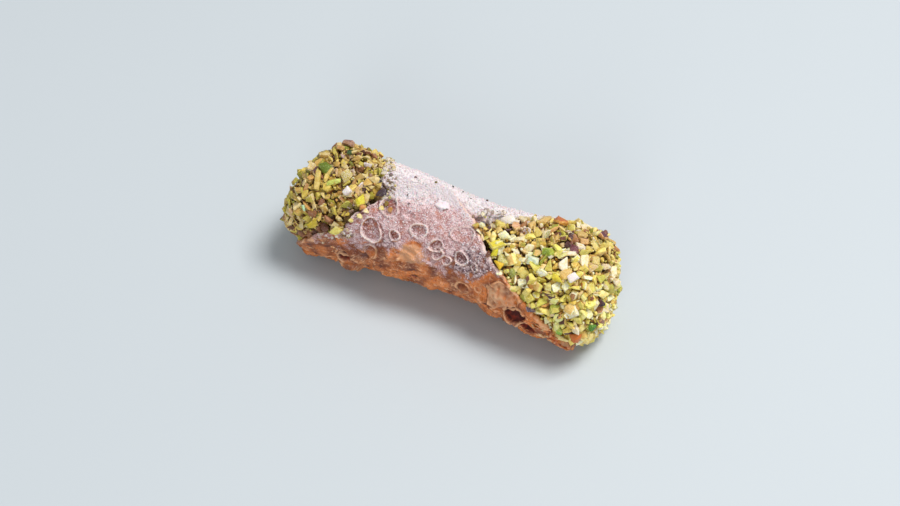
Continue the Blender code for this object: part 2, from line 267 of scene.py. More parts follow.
def curve_through(points, x):
    """The heights at x of the smooth curve through the points (a Catmull-Rom spline)."""
    px, py = np.array(points, float).T
    slopes = np.gradient(py)
    slopes[1:-1] = (py[2:] - py[:-2]) / (px[2:] - px[:-2])
    slopes[0] = (py[1] - py[0]) / (px[1] - px[0])
    slopes[-1] = (py[-1] - py[-2]) / (px[-1] - px[-2])
    i = np.clip(np.searchsorted(px, x) - 1, 0, len(px) - 2)
    span = px[i + 1] - px[i]
    t = (x - px[i]) / span
    return (
        py[i] * (1 + 2 * t) * (1 - t) ** 2
        + slopes[i] * span * t * (1 - t) ** 2
        + py[i + 1] * t * t * (3 - 2 * t)
        + slopes[i + 1] * span * t * t * (t - 1)
    )


def dough_edge(side, turn):
    return curve_through(RIGHT_EDGE if side > 0 else LEFT_EDGE, turn) * MM


def wrapped(turn):
    return (turn - ROLL_START) % 360 + ROLL_START


def mouth(side, turn):
    """Where the pastry ends at this angle: where two layers lie there, the longer one."""
    turn = wrapped(turn)
    outer = side * dough_edge(side, turn)
    inner = side * dough_edge(side, np.minimum(turn + 360, ROLL_END))
    return side * np.where(turn + 360 <= ROLL_END, np.maximum(outer, inner), outer)


def widening(along):
    return WIDENING * smooth_step(np.abs(along - WAIST_ALONG) / WIDENING_REACH)


def drawn_in(turn):
    return (WALL + SEAM_GAP) * smooth_step((turn - TUCK_START) / (TUCK_END - TUCK_START))


def dough_radius(along, turn):
    to_edge = np.minimum(dough_edge(1, turn) - along, along - dough_edge(-1, turn))
    alone = smooth_step((turn - 22) / 20) * smooth_step((336 - turn) / 20)
    curled = LIP * alone * np.exp(-np.maximum(to_edge, 0) / LIP_REACH)
    return WAIST_RADIUS - drawn_in(turn) + widening(along) + curled


def on_roll(along, turn, radius):
    """Points at these places and distances from the axis, as an array of XYZ rows."""
    angle = np.radians(turn)
    height = np.maximum(AXIS.z + radius * np.cos(angle), 0.0)
    return np.stack([AXIS.x + along, AXIS.y - radius * np.sin(angle), height], axis=-1)


def rough(points, size, seed=0.0):
    """Smooth noise from -1 to 1 at these points, with lumps about as large as size."""
    shift = Vector((seed * 7.3, seed * 3.1, seed * 5.7))
    flat = (np.asarray(points).reshape(-1, 3) / size).tolist()
    values = [noise.noise(Vector(p) + shift) for p in flat]
    return np.array(values).reshape(np.asarray(points).shape[:-1])


def blisters(points, size):
    """Cells about as large as size: how far each place is from its cell's border, from 0 to 1, and a
    value from -1 to 1 that is the same all over a cell."""
    points = np.asarray(points)
    wander = 0.3 * np.stack([rough(points, size, seed) for seed in (31, 32, 33)], axis=-1)
    inside, values = [], []
    for place in (points / size + wander).reshape(-1, 3).tolist():
        far, centres = noise.voronoi(Vector(place))
        inside.append(far[1] - far[0])
        values.append(noise.noise(centres[0] * 3.7))
    shape = points.shape[:-1]
    return np.clip(np.array(inside), 0, 1).reshape(shape), np.clip(np.array(values) * 2.2, -1, 1).reshape(shape)


def swell(side, turn, along):
    outside = side * (along - mouth(side, turn))
    return smooth_step((outside - 1 * MM) / SWELL_REACH)


def nut_radius(side, turn, along):
    layer = np.where(wrapped(turn) < SEAM_TURN, wrapped(turn) + 360, wrapped(turn))
    at_edge = WAIST_RADIUS - drawn_in(layer)
    swollen = at_edge + (WAIST_RADIUS - at_edge) * swell(side, turn, along)
    return swollen + widening(along) + NUTS_PROUD


def nut_outside(side, turn, share):
    """A place on the outside of an end, as (along, radius): share 0 is its tip, and 1 at the pastry."""
    rim = side * mouth(side, turn)
    along = HALF_LENGTH - (HALF_LENGTH - rim) * share**2
    rounded = np.clip(1 - (HALF_LENGTH - along) / END_DEPTH, 0.0, 1.0)
    radius = nut_radius(side, turn, side * along) * np.sqrt(np.maximum(1 - rounded**END_FULLNESS, 0))
    off_square = radius / WAIST_RADIUS * np.cos(np.radians(turn - LEAN_TURN[side]))
    along = along - END_LEAN[side] * off_square * (1 - share**4)
    return side * along, radius


# ---------------------------------------------------------------------------------------------------
# Materials


def new_material(name):
    """A material with only its shader, and a function that adds a node to it."""
    material = bpy.data.materials.new(name)
    material.use_nodes = True
    tree = material.node_tree
    shader = tree.nodes["Principled BSDF"]
    return material, tree, shader


def node(tree, kind, **settings):
    made = tree.nodes.new(kind)
    for key, value in settings.items():
        if key in made.inputs:
            made.inputs[key].default_value = value
        else:
            setattr(made, key, value)
    return made


def object_noise(tree, size, detail=2.0, roughness=0.5, stretch=None):
    """Noise on the object's own coordinates, with lumps of this size in metres."""
    place = node(tree, "ShaderNodeTexCoord")
    texture = node(tree, "ShaderNodeTexNoise", Scale=1 / size, Detail=detail, Roughness=roughness)
    source = place.outputs["Object"]
    if stretch:
        mapping = node(tree, "ShaderNodeMapping", Scale=stretch)
        tree.links.new(source, mapping.inputs["Vector"])
        source = mapping.outputs["Vector"]
    tree.links.new(source, texture.inputs["Vector"])
    return texture.outputs["Fac"]


def math_node(tree, operation, first, second=None, third=None, clamp=False):
    made = node(tree, "ShaderNodeMath", operation=operation, use_clamp=clamp)
    for socket, value in zip(made.inputs, (first, second, third)):
        if value is None:
            continue
        if isinstance(value, (int, float)):
            socket.default_value = value
        else:
            tree.links.new(value, socket)
    return made.outputs[0]


def ramp(tree, factor, low, high):
    """Goes from 0 to 1 as factor goes from low to high, smoothly."""
    made = node(tree, "ShaderNodeMapRange", interpolation_type="SMOOTHSTEP")
    tree.links.new(factor, made.inputs["Value"])
    made.inputs["From Min"].default_value = low
    made.inputs["From Max"].default_value = high
    return made.outputs["Result"]


def mix_colour(tree, factor, first, second, blend="MIX"):
    made = node(tree, "ShaderNodeMix", data_type="RGBA", blend_type=blend)
    for socket, value in ((made.inputs[0], factor), (made.inputs[6], first), (made.inputs[7], second)):
        if isinstance(value, (int, float)):
            socket.default_value = value
        elif isinstance(value, (tuple, list)):
            socket.default_value = (*value, 1.0) if len(value) == 3 else value
        else:
            tree.links.new(value, socket)
    return made.outputs[2]


def attribute(tree, name):
    return node(tree, "ShaderNodeAttribute", attribute_name=name)


def add_bump(tree, shader, layers):
    """Bumps on a shader, from (height, depth in metres) pairs."""
    total = None
    for height, depth in layers:
        scaled = math_node(tree, "MULTIPLY", height, depth)
        total = scaled if total is None else math_node(tree, "ADD", total, scaled)
    bump = node(tree, "ShaderNodeBump", Distance=1.0, Strength=1.0)
    tree.links.new(total, bump.inputs["Height"])
    tree.links.new(bump.outputs["Normal"], shader.inputs["Normal"])


def dough_material(settings, sugar_colour):
    """Fried dough, with painted shade in its hollows and creases and painted highlights on its edges and crests, under
    a dusting of fine sugar.
    """
    material, tree, shader = new_material("fried_dough")
    link = tree.links.new
    deep, golden, pale_highlight = (tuple(c) for c in (settings.deep, settings.golden, settings.pale_highlight))
    patches = ramp(tree, object_noise(tree, 6 * MM, 3), 0.34, 0.66)
    colour = mix_colour(tree, patches, deep, golden)
    # Painted highlights: lighter streaks running along the dough.
    highlight_streaks = object_noise(tree, 0.9 * MM, 3, 0.65, stretch=(0.7, 1, 1))
    colour = mix_colour(tree, math_node(tree, "MULTIPLY", ramp(tree, highlight_streaks, 0.54, 0.72), 0.6), colour, pale_highlight)
    specks = object_noise(tree, 0.7 * MM, 3, 0.65)
    colour = mix_colour(tree, math_node(tree, "MULTIPLY", ramp(tree, specks, 0.52, 0.7), 0.5), colour, deep)
    # Painted shade: creases between blisters, folds and a ring round the tan skin are darkened.
    crease_shaded = ramp(tree, attribute(tree, "crease_shade").outputs["Fac"], 0.25, 0.95)
    colour = mix_colour(tree, crease_shaded, colour, srgb(88, 34, 12))
    colour = mix_colour(tree, attribute(tree, "skin").outputs["Fac"], colour, srgb(218, 168, 126))
    # Under the sugar the dough has gone dull and pinkish, and sooty where it nearly burnt.
    sugar = attribute(tree, "sugar").outputs["Fac"]
    sugared = ramp(tree, sugar, 0.06, 0.42)
    under = mix_colour(tree, attribute(tree, "sooty").outputs["Fac"], srgb(168, 122, 122), srgb(88, 64, 72))
    colour = mix_colour(tree, sugared, colour, under)
    # Painted shade: hole insides, the shaded side of burst blisters and the line by the left mouth take a deep
    # red-brown.
    hollow_shade = attribute(tree, "hollow_shade").outputs["Fac"]
    inside = mix_colour(tree, ramp(tree, object_noise(tree, 2 * MM, 2), 0.4, 0.66), srgb(66, 8, 2), srgb(122, 34, 10))
    colour = mix_colour(tree, hollow_shade, colour, inside)
    # Sugar lies in grains, so it is patchy where it is thin.
    fine_grain = object_noise(tree, 0.55 * MM, 2, 0.6)
    coarse_grain = object_noise(tree, 1.0 * MM, 3, 0.7)
    grain = mix_colour(tree, attribute(tree, "sooty").outputs["Fac"], fine_grain, coarse_grain)
    clump = object_noise(tree, 1.9 * MM, 2, 0.55)
    scatter = math_node(
        tree, "ADD", math_node(tree, "MULTIPLY", grain, 2.0), math_node(tree, "MULTIPLY", clump, 1.0)
    )
    level = math_node(tree, "ADD", sugar, math_node(tree, "SUBTRACT", scatter, 1.5))
    cover = math_node(tree, "MULTIPLY", ramp(tree, level, 0.1, 0.72), ramp(tree, sugar, 0.0, 0.12))
    dusting = mix_colour(tree, ramp(tree, sugar, 0.5, 0.85), srgb(226, 198, 198), tuple(sugar_colour))
    colour = mix_colour(tree, cover, colour, dusting)
    # Painted highlights: rims, lips, ridges, crests and the sheet's edges turn lighter, pink with sugar where they are
    # sugared.
    raised = ramp(tree, attribute(tree, "raised").outputs["Fac"], 0.1, 0.85)
    crest_highlight = mix_colour(tree, sugared, pale_highlight, srgb(240, 216, 206))
    colour = mix_colour(tree, math_node(tree, "MULTIPLY", raised, 0.85), colour, crest_highlight)
    link(colour, shader.inputs["Base Color"])
    roughness = node(tree, "ShaderNodeMapRange")
    matt = math_node(tree, "MAXIMUM", math_node(tree, "MAXIMUM", cover, sugared), hollow_shade)
    link(matt, roughness.inputs["Value"])
    roughness.inputs["To Min"].default_value = 0.2
    roughness.inputs["To Max"].default_value = 0.9
    link(roughness.outputs["Result"], shader.inputs["Roughness"])
    shader.inputs["Subsurface Weight"].default_value = 0.05
    shader.inputs["Subsurface Radius"].default_value = (1.0, 0.5, 0.25)
    shader.inputs["Subsurface Scale"].default_value = 0.8 * MM
    fine = object_noise(tree, 1.0 * MM, 3, 0.6)
    grains = math_node(tree, "MULTIPLY", grain, cover)
    add_bump(tree, shader, ((fine, 0.45 * MM), (grains, 0.2 * MM)))
    return material


def cream_material():
    """Sieved ricotta, seen only between the nuts, coloured a deep khaki there as painted shade."""
    material, tree, shader = new_material("ricotta_cream")
    patchy_shade = ramp(tree, object_noise(tree, 4 * MM, 3), 0.4, 0.7)
    colour = mix_colour(tree, patchy_shade, srgb(96, 66, 26), srgb(140, 110, 58))
    grain = object_noise(tree, 0.9 * MM, 3, 0.7)
    colour = mix_colour(tree, ramp(tree, grain, 0.5, 0.7), colour, srgb(206, 184, 116))
    tree.links.new(colour, shader.inputs["Base Color"])
    shader.inputs["Roughness"].default_value = 0.7
    shader.inputs["Subsurface Weight"].default_value = 0.1
    shader.inputs["Subsurface Scale"].default_value = 1 * MM
    add_bump(tree, shader, ((grain, 0.7 * MM),))
    return material


def nut_material(name):
    """Chopped nuts: each bit's own colours come with it, and fine sugar lies on what faces up."""
    material, tree, shader = new_material(name)
    own = attribute(tree, "tint").outputs["Color"]
    cloudy = ramp(tree, object_noise(tree, 1.2 * MM, 3, 0.6), 0.3, 0.7)
    deeper = mix_colour(tree, 1.0, own, srgb(232, 222, 176), "MULTIPLY")
    colour = mix_colour(tree, cloudy, deeper, own)
    flecks = ramp(tree, object_noise(tree, 0.45 * MM, 2, 0.7), 0.56, 0.75)
    lighter = mix_colour(tree, 0.45, own, srgb(255, 246, 220))
    colour = mix_colour(tree, math_node(tree, "MULTIPLY", flecks, 0.8), colour, lighter)
    dust = attribute(tree, "dust").outputs["Fac"]
    grain = object_noise(tree, 0.4 * MM, 2, 0.6)
    cover = ramp(tree, math_node(tree, "ADD", dust, math_node(tree, "SUBTRACT", grain, 0.5)), 0.35, 0.95)
    colour = mix_colour(tree, cover, colour, srgb(246, 234, 230))
    tree.links.new(colour, shader.inputs["Base Color"])
    shader.inputs["Roughness"].default_value = 0.52
    shader.inputs["Subsurface Weight"].default_value = 0.3
    shader.inputs["Subsurface Radius"].default_value = (1.0, 0.8, 0.35)
    shader.inputs["Subsurface Scale"].default_value = 1.5 * MM
    lumps = object_noise(tree, 0.7 * MM, 3, 0.65)
    add_bump(tree, shader, ((lumps, 0.35 * MM), (grain, 0.1 * MM)))
    return material


def flake_material():
    """Splinters of fried dough, thin and oily."""
    material, tree, shader = new_material("pastry_flakes")
    own = attribute(tree, "tint").outputs["Color"]
    toasted = ramp(tree, object_noise(tree, 1.1 * MM, 3, 0.6), 0.4, 0.7)
    colour = mix_colour(tree, toasted, own, mix_colour(tree, 1.0, own, srgb(214, 160, 110), "MULTIPLY"))
    tree.links.new(colour, shader.inputs["Base Color"])
    shader.inputs["Roughness"].default_value = 0.28
    shader.inputs["Subsurface Weight"].default_value = 0.2
    shader.inputs["Subsurface Scale"].default_value = 1 * MM
    add_bump(tree, shader, ((object_noise(tree, 0.6 * MM, 2), 0.15 * MM),))
    return material


def sugar_material(colour):
    material, tree, shader = new_material("fine_sugar")
    tint = mix_colour(tree, object_noise(tree, 2 * MM, 2), tuple(colour), srgb(226, 208, 212))
    tree.links.new(tint, shader.inputs["Base Color"])
    shader.inputs["Roughness"].default_value = 0.85
    shader.inputs["Subsurface Weight"].default_value = 0.25
    shader.inputs["Subsurface Scale"].default_value = 0.5 * MM
    return material


def floor_material(colour):
    material, tree, shader = new_material("floor")
    shade = mix_colour(tree, object_noise(tree, 0.25, 2), tuple(colour), tuple(c * 0.97 for c in colour))
    tree.links.new(shade, shader.inputs["Base Color"])
    shader.inputs["Roughness"].default_value = 0.6
    return material


# ---------------------------------------------------------------------------------------------------
# Making pieces


def deselect():
    if bpy.context.object and bpy.context.object.mode != "OBJECT":
        bpy.ops.object.mode_set(mode="OBJECT")
    bpy.ops.object.select_all(action="DESELECT")


def take_new(name):
    """The object that the last operator added, under its own name."""
    obj = bpy.context.object
    obj.name = name
    obj.data.name = name
    return obj


def apply_modifiers(obj):
    deselect()
    obj.select_set(True)
    bpy.context.view_layer.objects.active = obj
    for modifier in list(obj.modifiers):
        bpy.ops.object.modifier_apply(modifier=modifier.name)


def set_places(mesh, points):
    mesh.vertices.foreach_set("co", np.asarray(points, np.float32).ravel())
    mesh.update()


def get_places(mesh):
    points = np.empty(len(mesh.vertices) * 3, np.float32)
    mesh.vertices.foreach_get("co", points)
    return points.reshape(-1, 3).astype(float)


def get_normals(mesh):
    normals = np.empty(len(mesh.vertices) * 3, np.float32)
    mesh.vertices.foreach_get("normal", normals)
    return normals.reshape(-1, 3).astype(float)


def set_value(mesh, name, values):
    made = mesh.attributes.new(name, "FLOAT", "POINT")
    made.data.foreach_set("value", np.asarray(values, np.float32))


def add_grid(name, columns, rows):
    """A flat grid from 0 to 1 on both axes, and its vertices' places on it."""
    deselect()
    bpy.ops.mesh.primitive_grid_add(x_subdivisions=columns, y_subdivisions=rows, size=1)
    obj = take_new(name)
    flat = get_places(obj.data)[:, :2] + 0.5
    return obj, flat[:, 0], flat[:, 1]


def finish_piece(obj, material, smooth_angle=None, replaced=()):
    obj.data.materials.clear()
    obj.data.materials.append(material)
    deselect()
    obj.select_set(True)
    bpy.context.view_layer.objects.active = obj
    if smooth_angle is None:
        bpy.ops.object.shade_smooth()
    else:
        bpy.ops.object.shade_smooth_by_angle(angle=math.radians(smooth_angle))
    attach(obj, "root")
    if replaced:
        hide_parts(*replaced)


# ---------------------------------------------------------------------------------------------------
# The pastry

RIM_STEPS = 5
BUBBLES = 260
FLAKES = 150


def away_from(along, turn, centre, centre_turn, stretch=1.0):
    """How far places lie from a centre, in metres, and in which direction."""
    across = np.radians(turn - centre_turn) * WAIST_RADIUS
    right = (along - centre * MM) / stretch
    return np.hypot(right, across), np.arctan2(across, right)


def domes(along, turn):
    raised = np.zeros_like(along)
    for centre, centre_turn, width, height in DOMES:
        away, _ = away_from(along, turn, centre, centre_turn)
        raised = np.maximum(raised, height * MM * smooth_step(1.35 * (1 - away / (width * MM / 2))))
    return raised


def rings(along, turn, points):
    """Burst blisters: how high they stand, and how much of each place is rim, hollow and shade."""
    height = np.zeros_like(along)
    rim_share = np.zeros_like(along)
    shade = np.zeros_like(along)
    floor_lumps = rough(points, 0.9 * MM, 8)
    uneven = rough(points, 2.6 * MM, 9)
    for number, (centre, centre_turn, width, depth, stretch) in enumerate(RINGS):
        away, way = away_from(along, turn, centre, centre_turn, stretch)
        wobble = 1 + 0.1 * np.sin(2 * way + number) + 0.07 * np.sin(3 * way + 2 * number) + 0.05 * uneven
        radius = width * MM / 2 * wobble
        thick = (0.32 + 0.014 * width) * MM
        broken = np.clip(0.75 + 0.3 * np.sin(way + 1.7 * number) + 0.5 * uneven, 0.25, 1.2)
        rim = np.exp(-(((away - radius) / thick) ** 2))
        height += rim * (0.5 + 0.06 * width) * MM * broken
        # The floor of a burst blister slopes, so one side of it is in shade.
        inside = smooth_step((radius - away - 0.05 * MM) / (0.5 * MM))
        slope = 0.55 + 0.45 * np.sin(way - 2.3) * np.clip(away / radius, 0, 1)
        height -= inside * (depth * MM * slope + 0.3 * MM * floor_lumps)
        groove = np.exp(-(((away - radius - 1.7 * thick) / thick) ** 2))
        height -= 0.3 * MM * groove
        rim_share = np.maximum(rim_share, rim * np.minimum(broken, 1) * min(1, 0.5 + depth))
        shade = np.maximum(shade, inside * np.clip(0.4 * min(depth, 0.4) + depth * (slope - 0.3), 0, 1) * 1.1)
        shade = np.maximum(shade, 0.6 * groove * np.clip(np.sin(way + 2.2), 0, 1))
    return height, rim_share, shade


def bubbles(along, turn, seed):
    """Many small bubbles, most on the bare front of the dough."""
    height = np.zeros_like(along)
    pick = random.Random(seed)
    for _ in range(BUBBLES):
        front = pick.random() < 0.6
        centre_turn = pick.gauss(104, 17) if front else pick.uniform(-10, 380)
        centre = pick.uniform(-62, 60) * MM
        radius = pick.uniform(0.5, 2.4 if pick.random() < 0.8 else 3.8) * MM
        longer = pick.uniform(1.0, 1.8)
        lift = radius * pick.uniform(0.12, 0.36) * (1 if front else 0.6)
        near = np.nonzero((np.abs(along - centre) < radius * longer) & (np.abs(turn - centre_turn) < 7))[0]
        if not len(near):
            continue
        across = np.radians(turn[near] - centre_turn) * WAIST_RADIUS
        away = np.hypot((along[near] - centre) / longer, across) / radius
        dome = np.sqrt(np.maximum(1 - away**2, 0))
        if pick.random() < 0.22:
            dome = np.exp(-(((away - 0.7) / 0.2) ** 2)) * 1.3 - 0.5 * (away < 0.55)
        height[near] += lift * dome
    return height


def turn_at(share):
    """The turn at this share of the way from the dough's inner end to its outer one, closest where it shows."""
    return np.interp(share, (0, 0.12, 0.38, 1), (ROLL_END, 343, 165, ROLL_START))


def shape_dough(columns, rows, share_along, share_round, rim_steps):
    """Places of the dough's outer face, with its edge rolled over the thickness of the sheet."""
    i = share_along * columns
    j = share_round * rows
    over_left = np.maximum(rim_steps - i, 0)
    over_right = np.maximum(i - (columns - rim_steps), 0)
    over_start = np.maximum(rim_steps - j, 0)
    over_end = np.maximum(j - (rows - rim_steps), 0)
    inner_i = np.clip((i - rim_steps) / (columns - 2 * rim_steps), 0, 1)
    inner_j = np.clip((j - rim_steps) / (rows - 2 * rim_steps), 0, 1)
    turn = turn_at(inner_j)
    over = np.maximum.reduce([over_left, over_right, over_start, over_end]) / max(rim_steps, 1)
    return inner_i, turn, over, over_right - over_left, over_start - over_end


def ragged_edges(turn):
    """The mouths' edges as they broke in the fryer: (left, right)."""
    ways = np.stack([np.cos(np.radians(turn)), np.sin(np.radians(turn)), turn / 60], axis=-1)
    tips = []
    for side in (-1, 1):
        torn = 1.0 * rough(ways, 0.17, 4 + side) + 0.8 * rough(ways, 0.07, 9 + side)
        tips.append(dough_edge(side, turn) + (torn - 0.9 * side) * MM)
    return tips


def make_dough(settings, sugar_colour):
    thick = WALL / 2 * 0.92
    outer, share_along, share_round = add_grid("rolled_pastry", settings.columns, settings.rows)
    inner_i, turn, over, over_x, over_y = shape_dough(
        settings.columns, settings.rows, share_along, share_round, RIM_STEPS
    )
    left, right = ragged_edges(turn)
    along = left + (right - left) * inner_i
    # The way out of the sheet at its edge, square to the edge's own line.
    slope_turn = 1.5
    ends = [np.where(over_x > 0, edges[1], edges[0]) for edges in (ragged_edges(turn - slope_turn), ragged_edges(turn + slope_turn))]
    slope = (ends[1] - ends[0]) / (np.radians(2 * slope_turn) * WAIST_RADIUS)
    out_x = np.abs(over_x) * np.sign(over_x)
    out_y = -np.abs(over_x) * np.sign(over_x) * slope + over_y * np.hypot(1, slope)
    length = np.maximum(np.hypot(out_x, out_y), 1e-9)
    bend = over * math.pi * 0.95
    reach = thick * np.sin(bend)
    along_edge = along + reach * out_x / length
    turn_edge = turn + np.degrees(reach * out_y / length / WAIST_RADIUS)
    sunk_in = thick * (1 - np.cos(bend))
    # Relief
    base = on_roll(along, turn, dough_radius(along, turn))
    # The inner layer of the seam gets bumps of its own.
    layered = base + np.stack([turn * 0, turn * 0, (turn > 300) * 0.2], axis=-1)
    ring_height, rim_share, shade = rings(along, turn, layered)
    limit = curve_through(SUGARED_TO, np.clip(along / MM, -69, 69))
    bare = smooth_step((turn - limit + 14) / 22) * smooth_step((275 - turn) / 30)
    broad = 0.5 * MM * rough(layered, 13 * MM, 1)
    lumps = (0.16 + 0.3 * bare) * MM * rough(layered, 3.6 * MM, 2)
    inside_large, value_large = blisters(layered * (0.42, 1, 1), 3.0 * MM)
    inside_little, value_little = blisters(layered * (0.6, 1, 1) + 0.3, 1.5 * MM)
    large, little = (np.sqrt(np.clip(inside * 1.6, 0, 1)) for inside in (inside_large, inside_little))
    lines = np.clip(0.45 + 1.6 * rough(layered, 5 * MM, 18), 0, 1) * np.exp(-((inside_large / 0.17) ** 2))
    folds_large = np.abs(rough(layered * (0.4, 1, 1), 2.8 * MM, 12))
    folds_little = np.abs(rough(layered * (0.6, 1, 1), 1.4 * MM, 13))
    wrinkled = (0.16 + 1.1 * bare) * MM * (0.3 - folds_large) + 0.8 * bare * MM * (0.25 - folds_little)
    blistered = large * (0.25 + 0.5 * value_large) + little * (0.12 + 0.22 * value_little) + 0.3 * lines
    blistered *= bare * MM
    fine = 0.12 * MM * rough(layered, 0.9 * MM, 7)
    tan, _ = away_from(along, turn, -8.5, 69, 1.5)
    tan = smooth_step((4.4 * MM * (1 + 0.3 * rough(layered, 4 * MM, 24)) - tan) / (0.8 * MM))
    patch, patch_way = away_from(along, turn, 31.8, 80, 1.2)
    uneven = rough(layered, 3 * MM, 16)
    edge = 5.6 * MM * (1 + 0.2 * uneven)
    skin = smooth_step((edge - patch) / (0.7 * MM))
    folds = np.abs(rough(layered * (1, 0.5, 0.5), 1.5 * MM, 15))
    edge_ridge = np.exp(-(((patch - edge) / (0.4 * MM)) ** 2)) * np.clip(0.75 + uneven, 0.2, 1.3)
    skin_height = skin * (1.5 * (0.3 - folds) - 0.3) * MM + 0.6 * MM * edge_ridge
    skin_edge_shade = np.exp(-(((patch - edge - 0.7 * MM) / (0.4 * MM)) ** 2))
    ridge_turn = 101.5 + 0.4 * (along / MM + 42)
    ridge_away = np.radians(turn - ridge_turn) * WAIST_RADIUS / MM
    on_ridge = smooth_step((along / MM + 44) / 5) * smooth_step((-26 - along / MM) / 5)
    ridge = on_ridge * 0.8 * MM * np.exp(-((ridge_away / 0.5) ** 2))
    holes = np.zeros_like(along)
    hole_shade = np.zeros_like(along)
    lit_lips = np.zeros_like(along)
    for number, (centre, centre_turn, width, depth, stretch) in enumerate(HOLES):
        away, way = away_from(along, turn, centre, centre_turn, stretch)
        teeth = 0.18 * np.clip(0.3 - np.sin(way), 0, 1) * np.abs(np.sin(4.5 * way + 1))
        radius = width * MM / 2 * (1 + 0.1 * np.sin(2 * way + number) + 0.12 * uneven - teeth * (number == 0))
        inside = smooth_step((radius - away) / (0.5 * MM))
        lip = np.exp(-(((away - radius - 0.45 * MM) / (0.27 * MM)) ** 2))
        lip *= np.clip(0.7 + 0.6 * np.sin(way - 2.0) + uneven, 0.15, 1)
        holes += 0.45 * MM * lip - depth * MM * inside
        # Painted shade: each hole's inside and wall get the deep colour of a shadow.
        hole_shade = np.maximum(hole_shade, smooth_step((radius + 0.25 * MM - away) / (0.3 * MM)) * min(1, depth / 1.5))
        lit_lips = np.maximum(lit_lips, lip)
    flat_here = 1 - np.maximum(np.maximum(skin, smooth_step(rim_share * 2)), hole_shade)
    small = bubbles(along, turn, 11) * flat_here
    relief = domes(along, turn) + broad + lumps + (wrinkled + blistered) * flat_here + fine + small
    on_top = smooth_step((24 - turn) / 20) * smooth_step((60 + turn) / 20)
    drifts = (0.3 * rough(layered, 1.5 * MM, 17) + 0.35 * rough(layered, 4 * MM, 19)) * MM * on_top
    relief += ring_height + skin_height + holes + ridge + drifts
    radius = dough_radius(along_edge, turn_edge) + relief * (1 - over**2) - sunk_in
    points = on_roll(along_edge, turn_edge, radius)
    # No blister stands out further in front than the roll's own box.
    beyond_front = np.maximum(CAD_BOX[0][1] - 0.1 * MM - points[:, 1], 0)
    points[:, 1] += beyond_front - 0.8 * MM * np.tanh(beyond_front / (0.8 * MM))
    set_places(outer.data, points)
    # The inner face of the sheet, which the cream hides.
    columns_in, rows_in = settings.columns // 6, settings.rows // 4
    inner, share_along, share_round = add_grid("inner_face", columns_in, rows_in)
    turn_in = turn_at(share_round)
    left_in, right_in = ragged_edges(turn_in)
    along_in = left_in + (right_in - left_in) * share_along
    inset = on_roll(along_in, turn_in, dough_radius(along_in, turn_in) - 2 * thick)
    set_places(inner.data, inset)
    deselect()
    outer.select_set(True)
    inner.select_set(True)
    bpy.context.view_layer.objects.active = outer
    n_outer = len(outer.data.vertices)
    bpy.ops.object.join()
    bpy.ops.object.mode_set(mode="EDIT")
    bpy.ops.mesh.select_all(action="DESELECT")
    bpy.ops.mesh.select_non_manifold(extend=False)
    bpy.ops.mesh.bridge_edge_loops()
    bpy.ops.mesh.select_all(action="SELECT")
    bpy.ops.mesh.normals_make_consistent(inside=False)
    bpy.ops.object.mode_set(mode="OBJECT")
    mesh = outer.data
    count = len(mesh.vertices)
    extra = count - n_outer

    def spread(values, fill=0.0):
        return np.concatenate([values, np.full(extra, fill)])

    normals = get_normals(mesh)
    upward = np.clip(normals[:, 2], 0, 1)
    layered_all = np.concatenate([layered, inset])
    drift = rough(layered_all, 8 * MM, 21) + 0.6 * rough(layered_all, 3 * MM, 23)
    speck = rough(layered_all, 2.4 * MM, 22)
    turns = np.concatenate([turn, turn_in])
    alongs = np.concatenate([along, along_in])
    round_turn = (turns + 180) % 360 - 180
    limits = curve_through(SUGARED_TO, np.clip(alongs / MM, -69, 69))
    front_fade = smooth_step((limits + 9 + 17 * drift - round_turn) / 24)
    back_fade = smooth_step((round_turn + 112 + 10 * drift) / 40)
    thick_sugar = 0.16 * smooth_step((-2 - alongs / MM) / 16) * smooth_step((30 - round_turn) / 20)
    thick_sugar += 0.38 + 0.56 * smooth_step((22 + 16 * drift - round_turn) / 36)
    # Less sugar on the layer just under the flap's edge: the flap kept sugar off it, and the thinner sugar is also a
    # painted shadow of that edge.
    beyond = alongs - dough_edge(1, np.clip(turns - 360, ROLL_START, 23))
    sheltered_shadow = (turns > 340) * (beyond > -1 * MM) * smooth_step((6.5 * MM - beyond) / (5 * MM))
    thick_sugar *= 1 - 0.3 * sheltered_shadow
    sugar = front_fade * back_fade * thick_sugar
    sugar += (0.2 * speck + 0.35 * spread(rim_share)) * smooth_step(sugar * 4)
    sugar *= (1 - 0.9 * spread(skin)) * (1 - 0.4 * spread(shade)) * (1 - spread(hole_shade))
    sugar *= smooth_step((upward + 0.1) / 0.35)
    over_all = spread(over, 1.0)
    flap_edge = (over_all > 0) * (over_all < 0.9) * (np.abs(turns - 3) < 24)
    sugar *= 1 - 0.5 * flap_edge
    set_value(mesh, "sugar", np.clip(sugar, 0, 1))
    burnt, _ = away_from(alongs, turns, 17, 67)
    burnt_too, _ = away_from(alongs, turns, -19, 70)
    sooty = np.maximum(smooth_step((13 * MM - burnt) / (6 * MM)), 0.7 * smooth_step((6 * MM - burnt_too) / (3 * MM)))
    set_value(mesh, "sooty", sooty)
    bumps = np.clip((wrinkled + small) / (0.8 * MM), 0, 1) * flat_here
    thin = np.maximum(np.clip(1 - folds_large / 0.09, 0, 1), 0.8 * np.clip(1 - folds_little / 0.1, 0, 1))
    crests = bare * np.maximum(0.45 * lines, thin * np.clip(0.5 + 2 * uneven, 0, 1)) * flat_here
    # Places lightened as painted highlights: blister rims (partly their real sugar), hole lips lit on one side, the
    # tan skin's edge, bump tops, crests and the left ridge.
    raised = np.maximum.reduce(
        [rim_share, lit_lips, edge_ridge * 0.8, bumps * 0.25, crests * 0.9, ridge / MM * 0.8]
    )
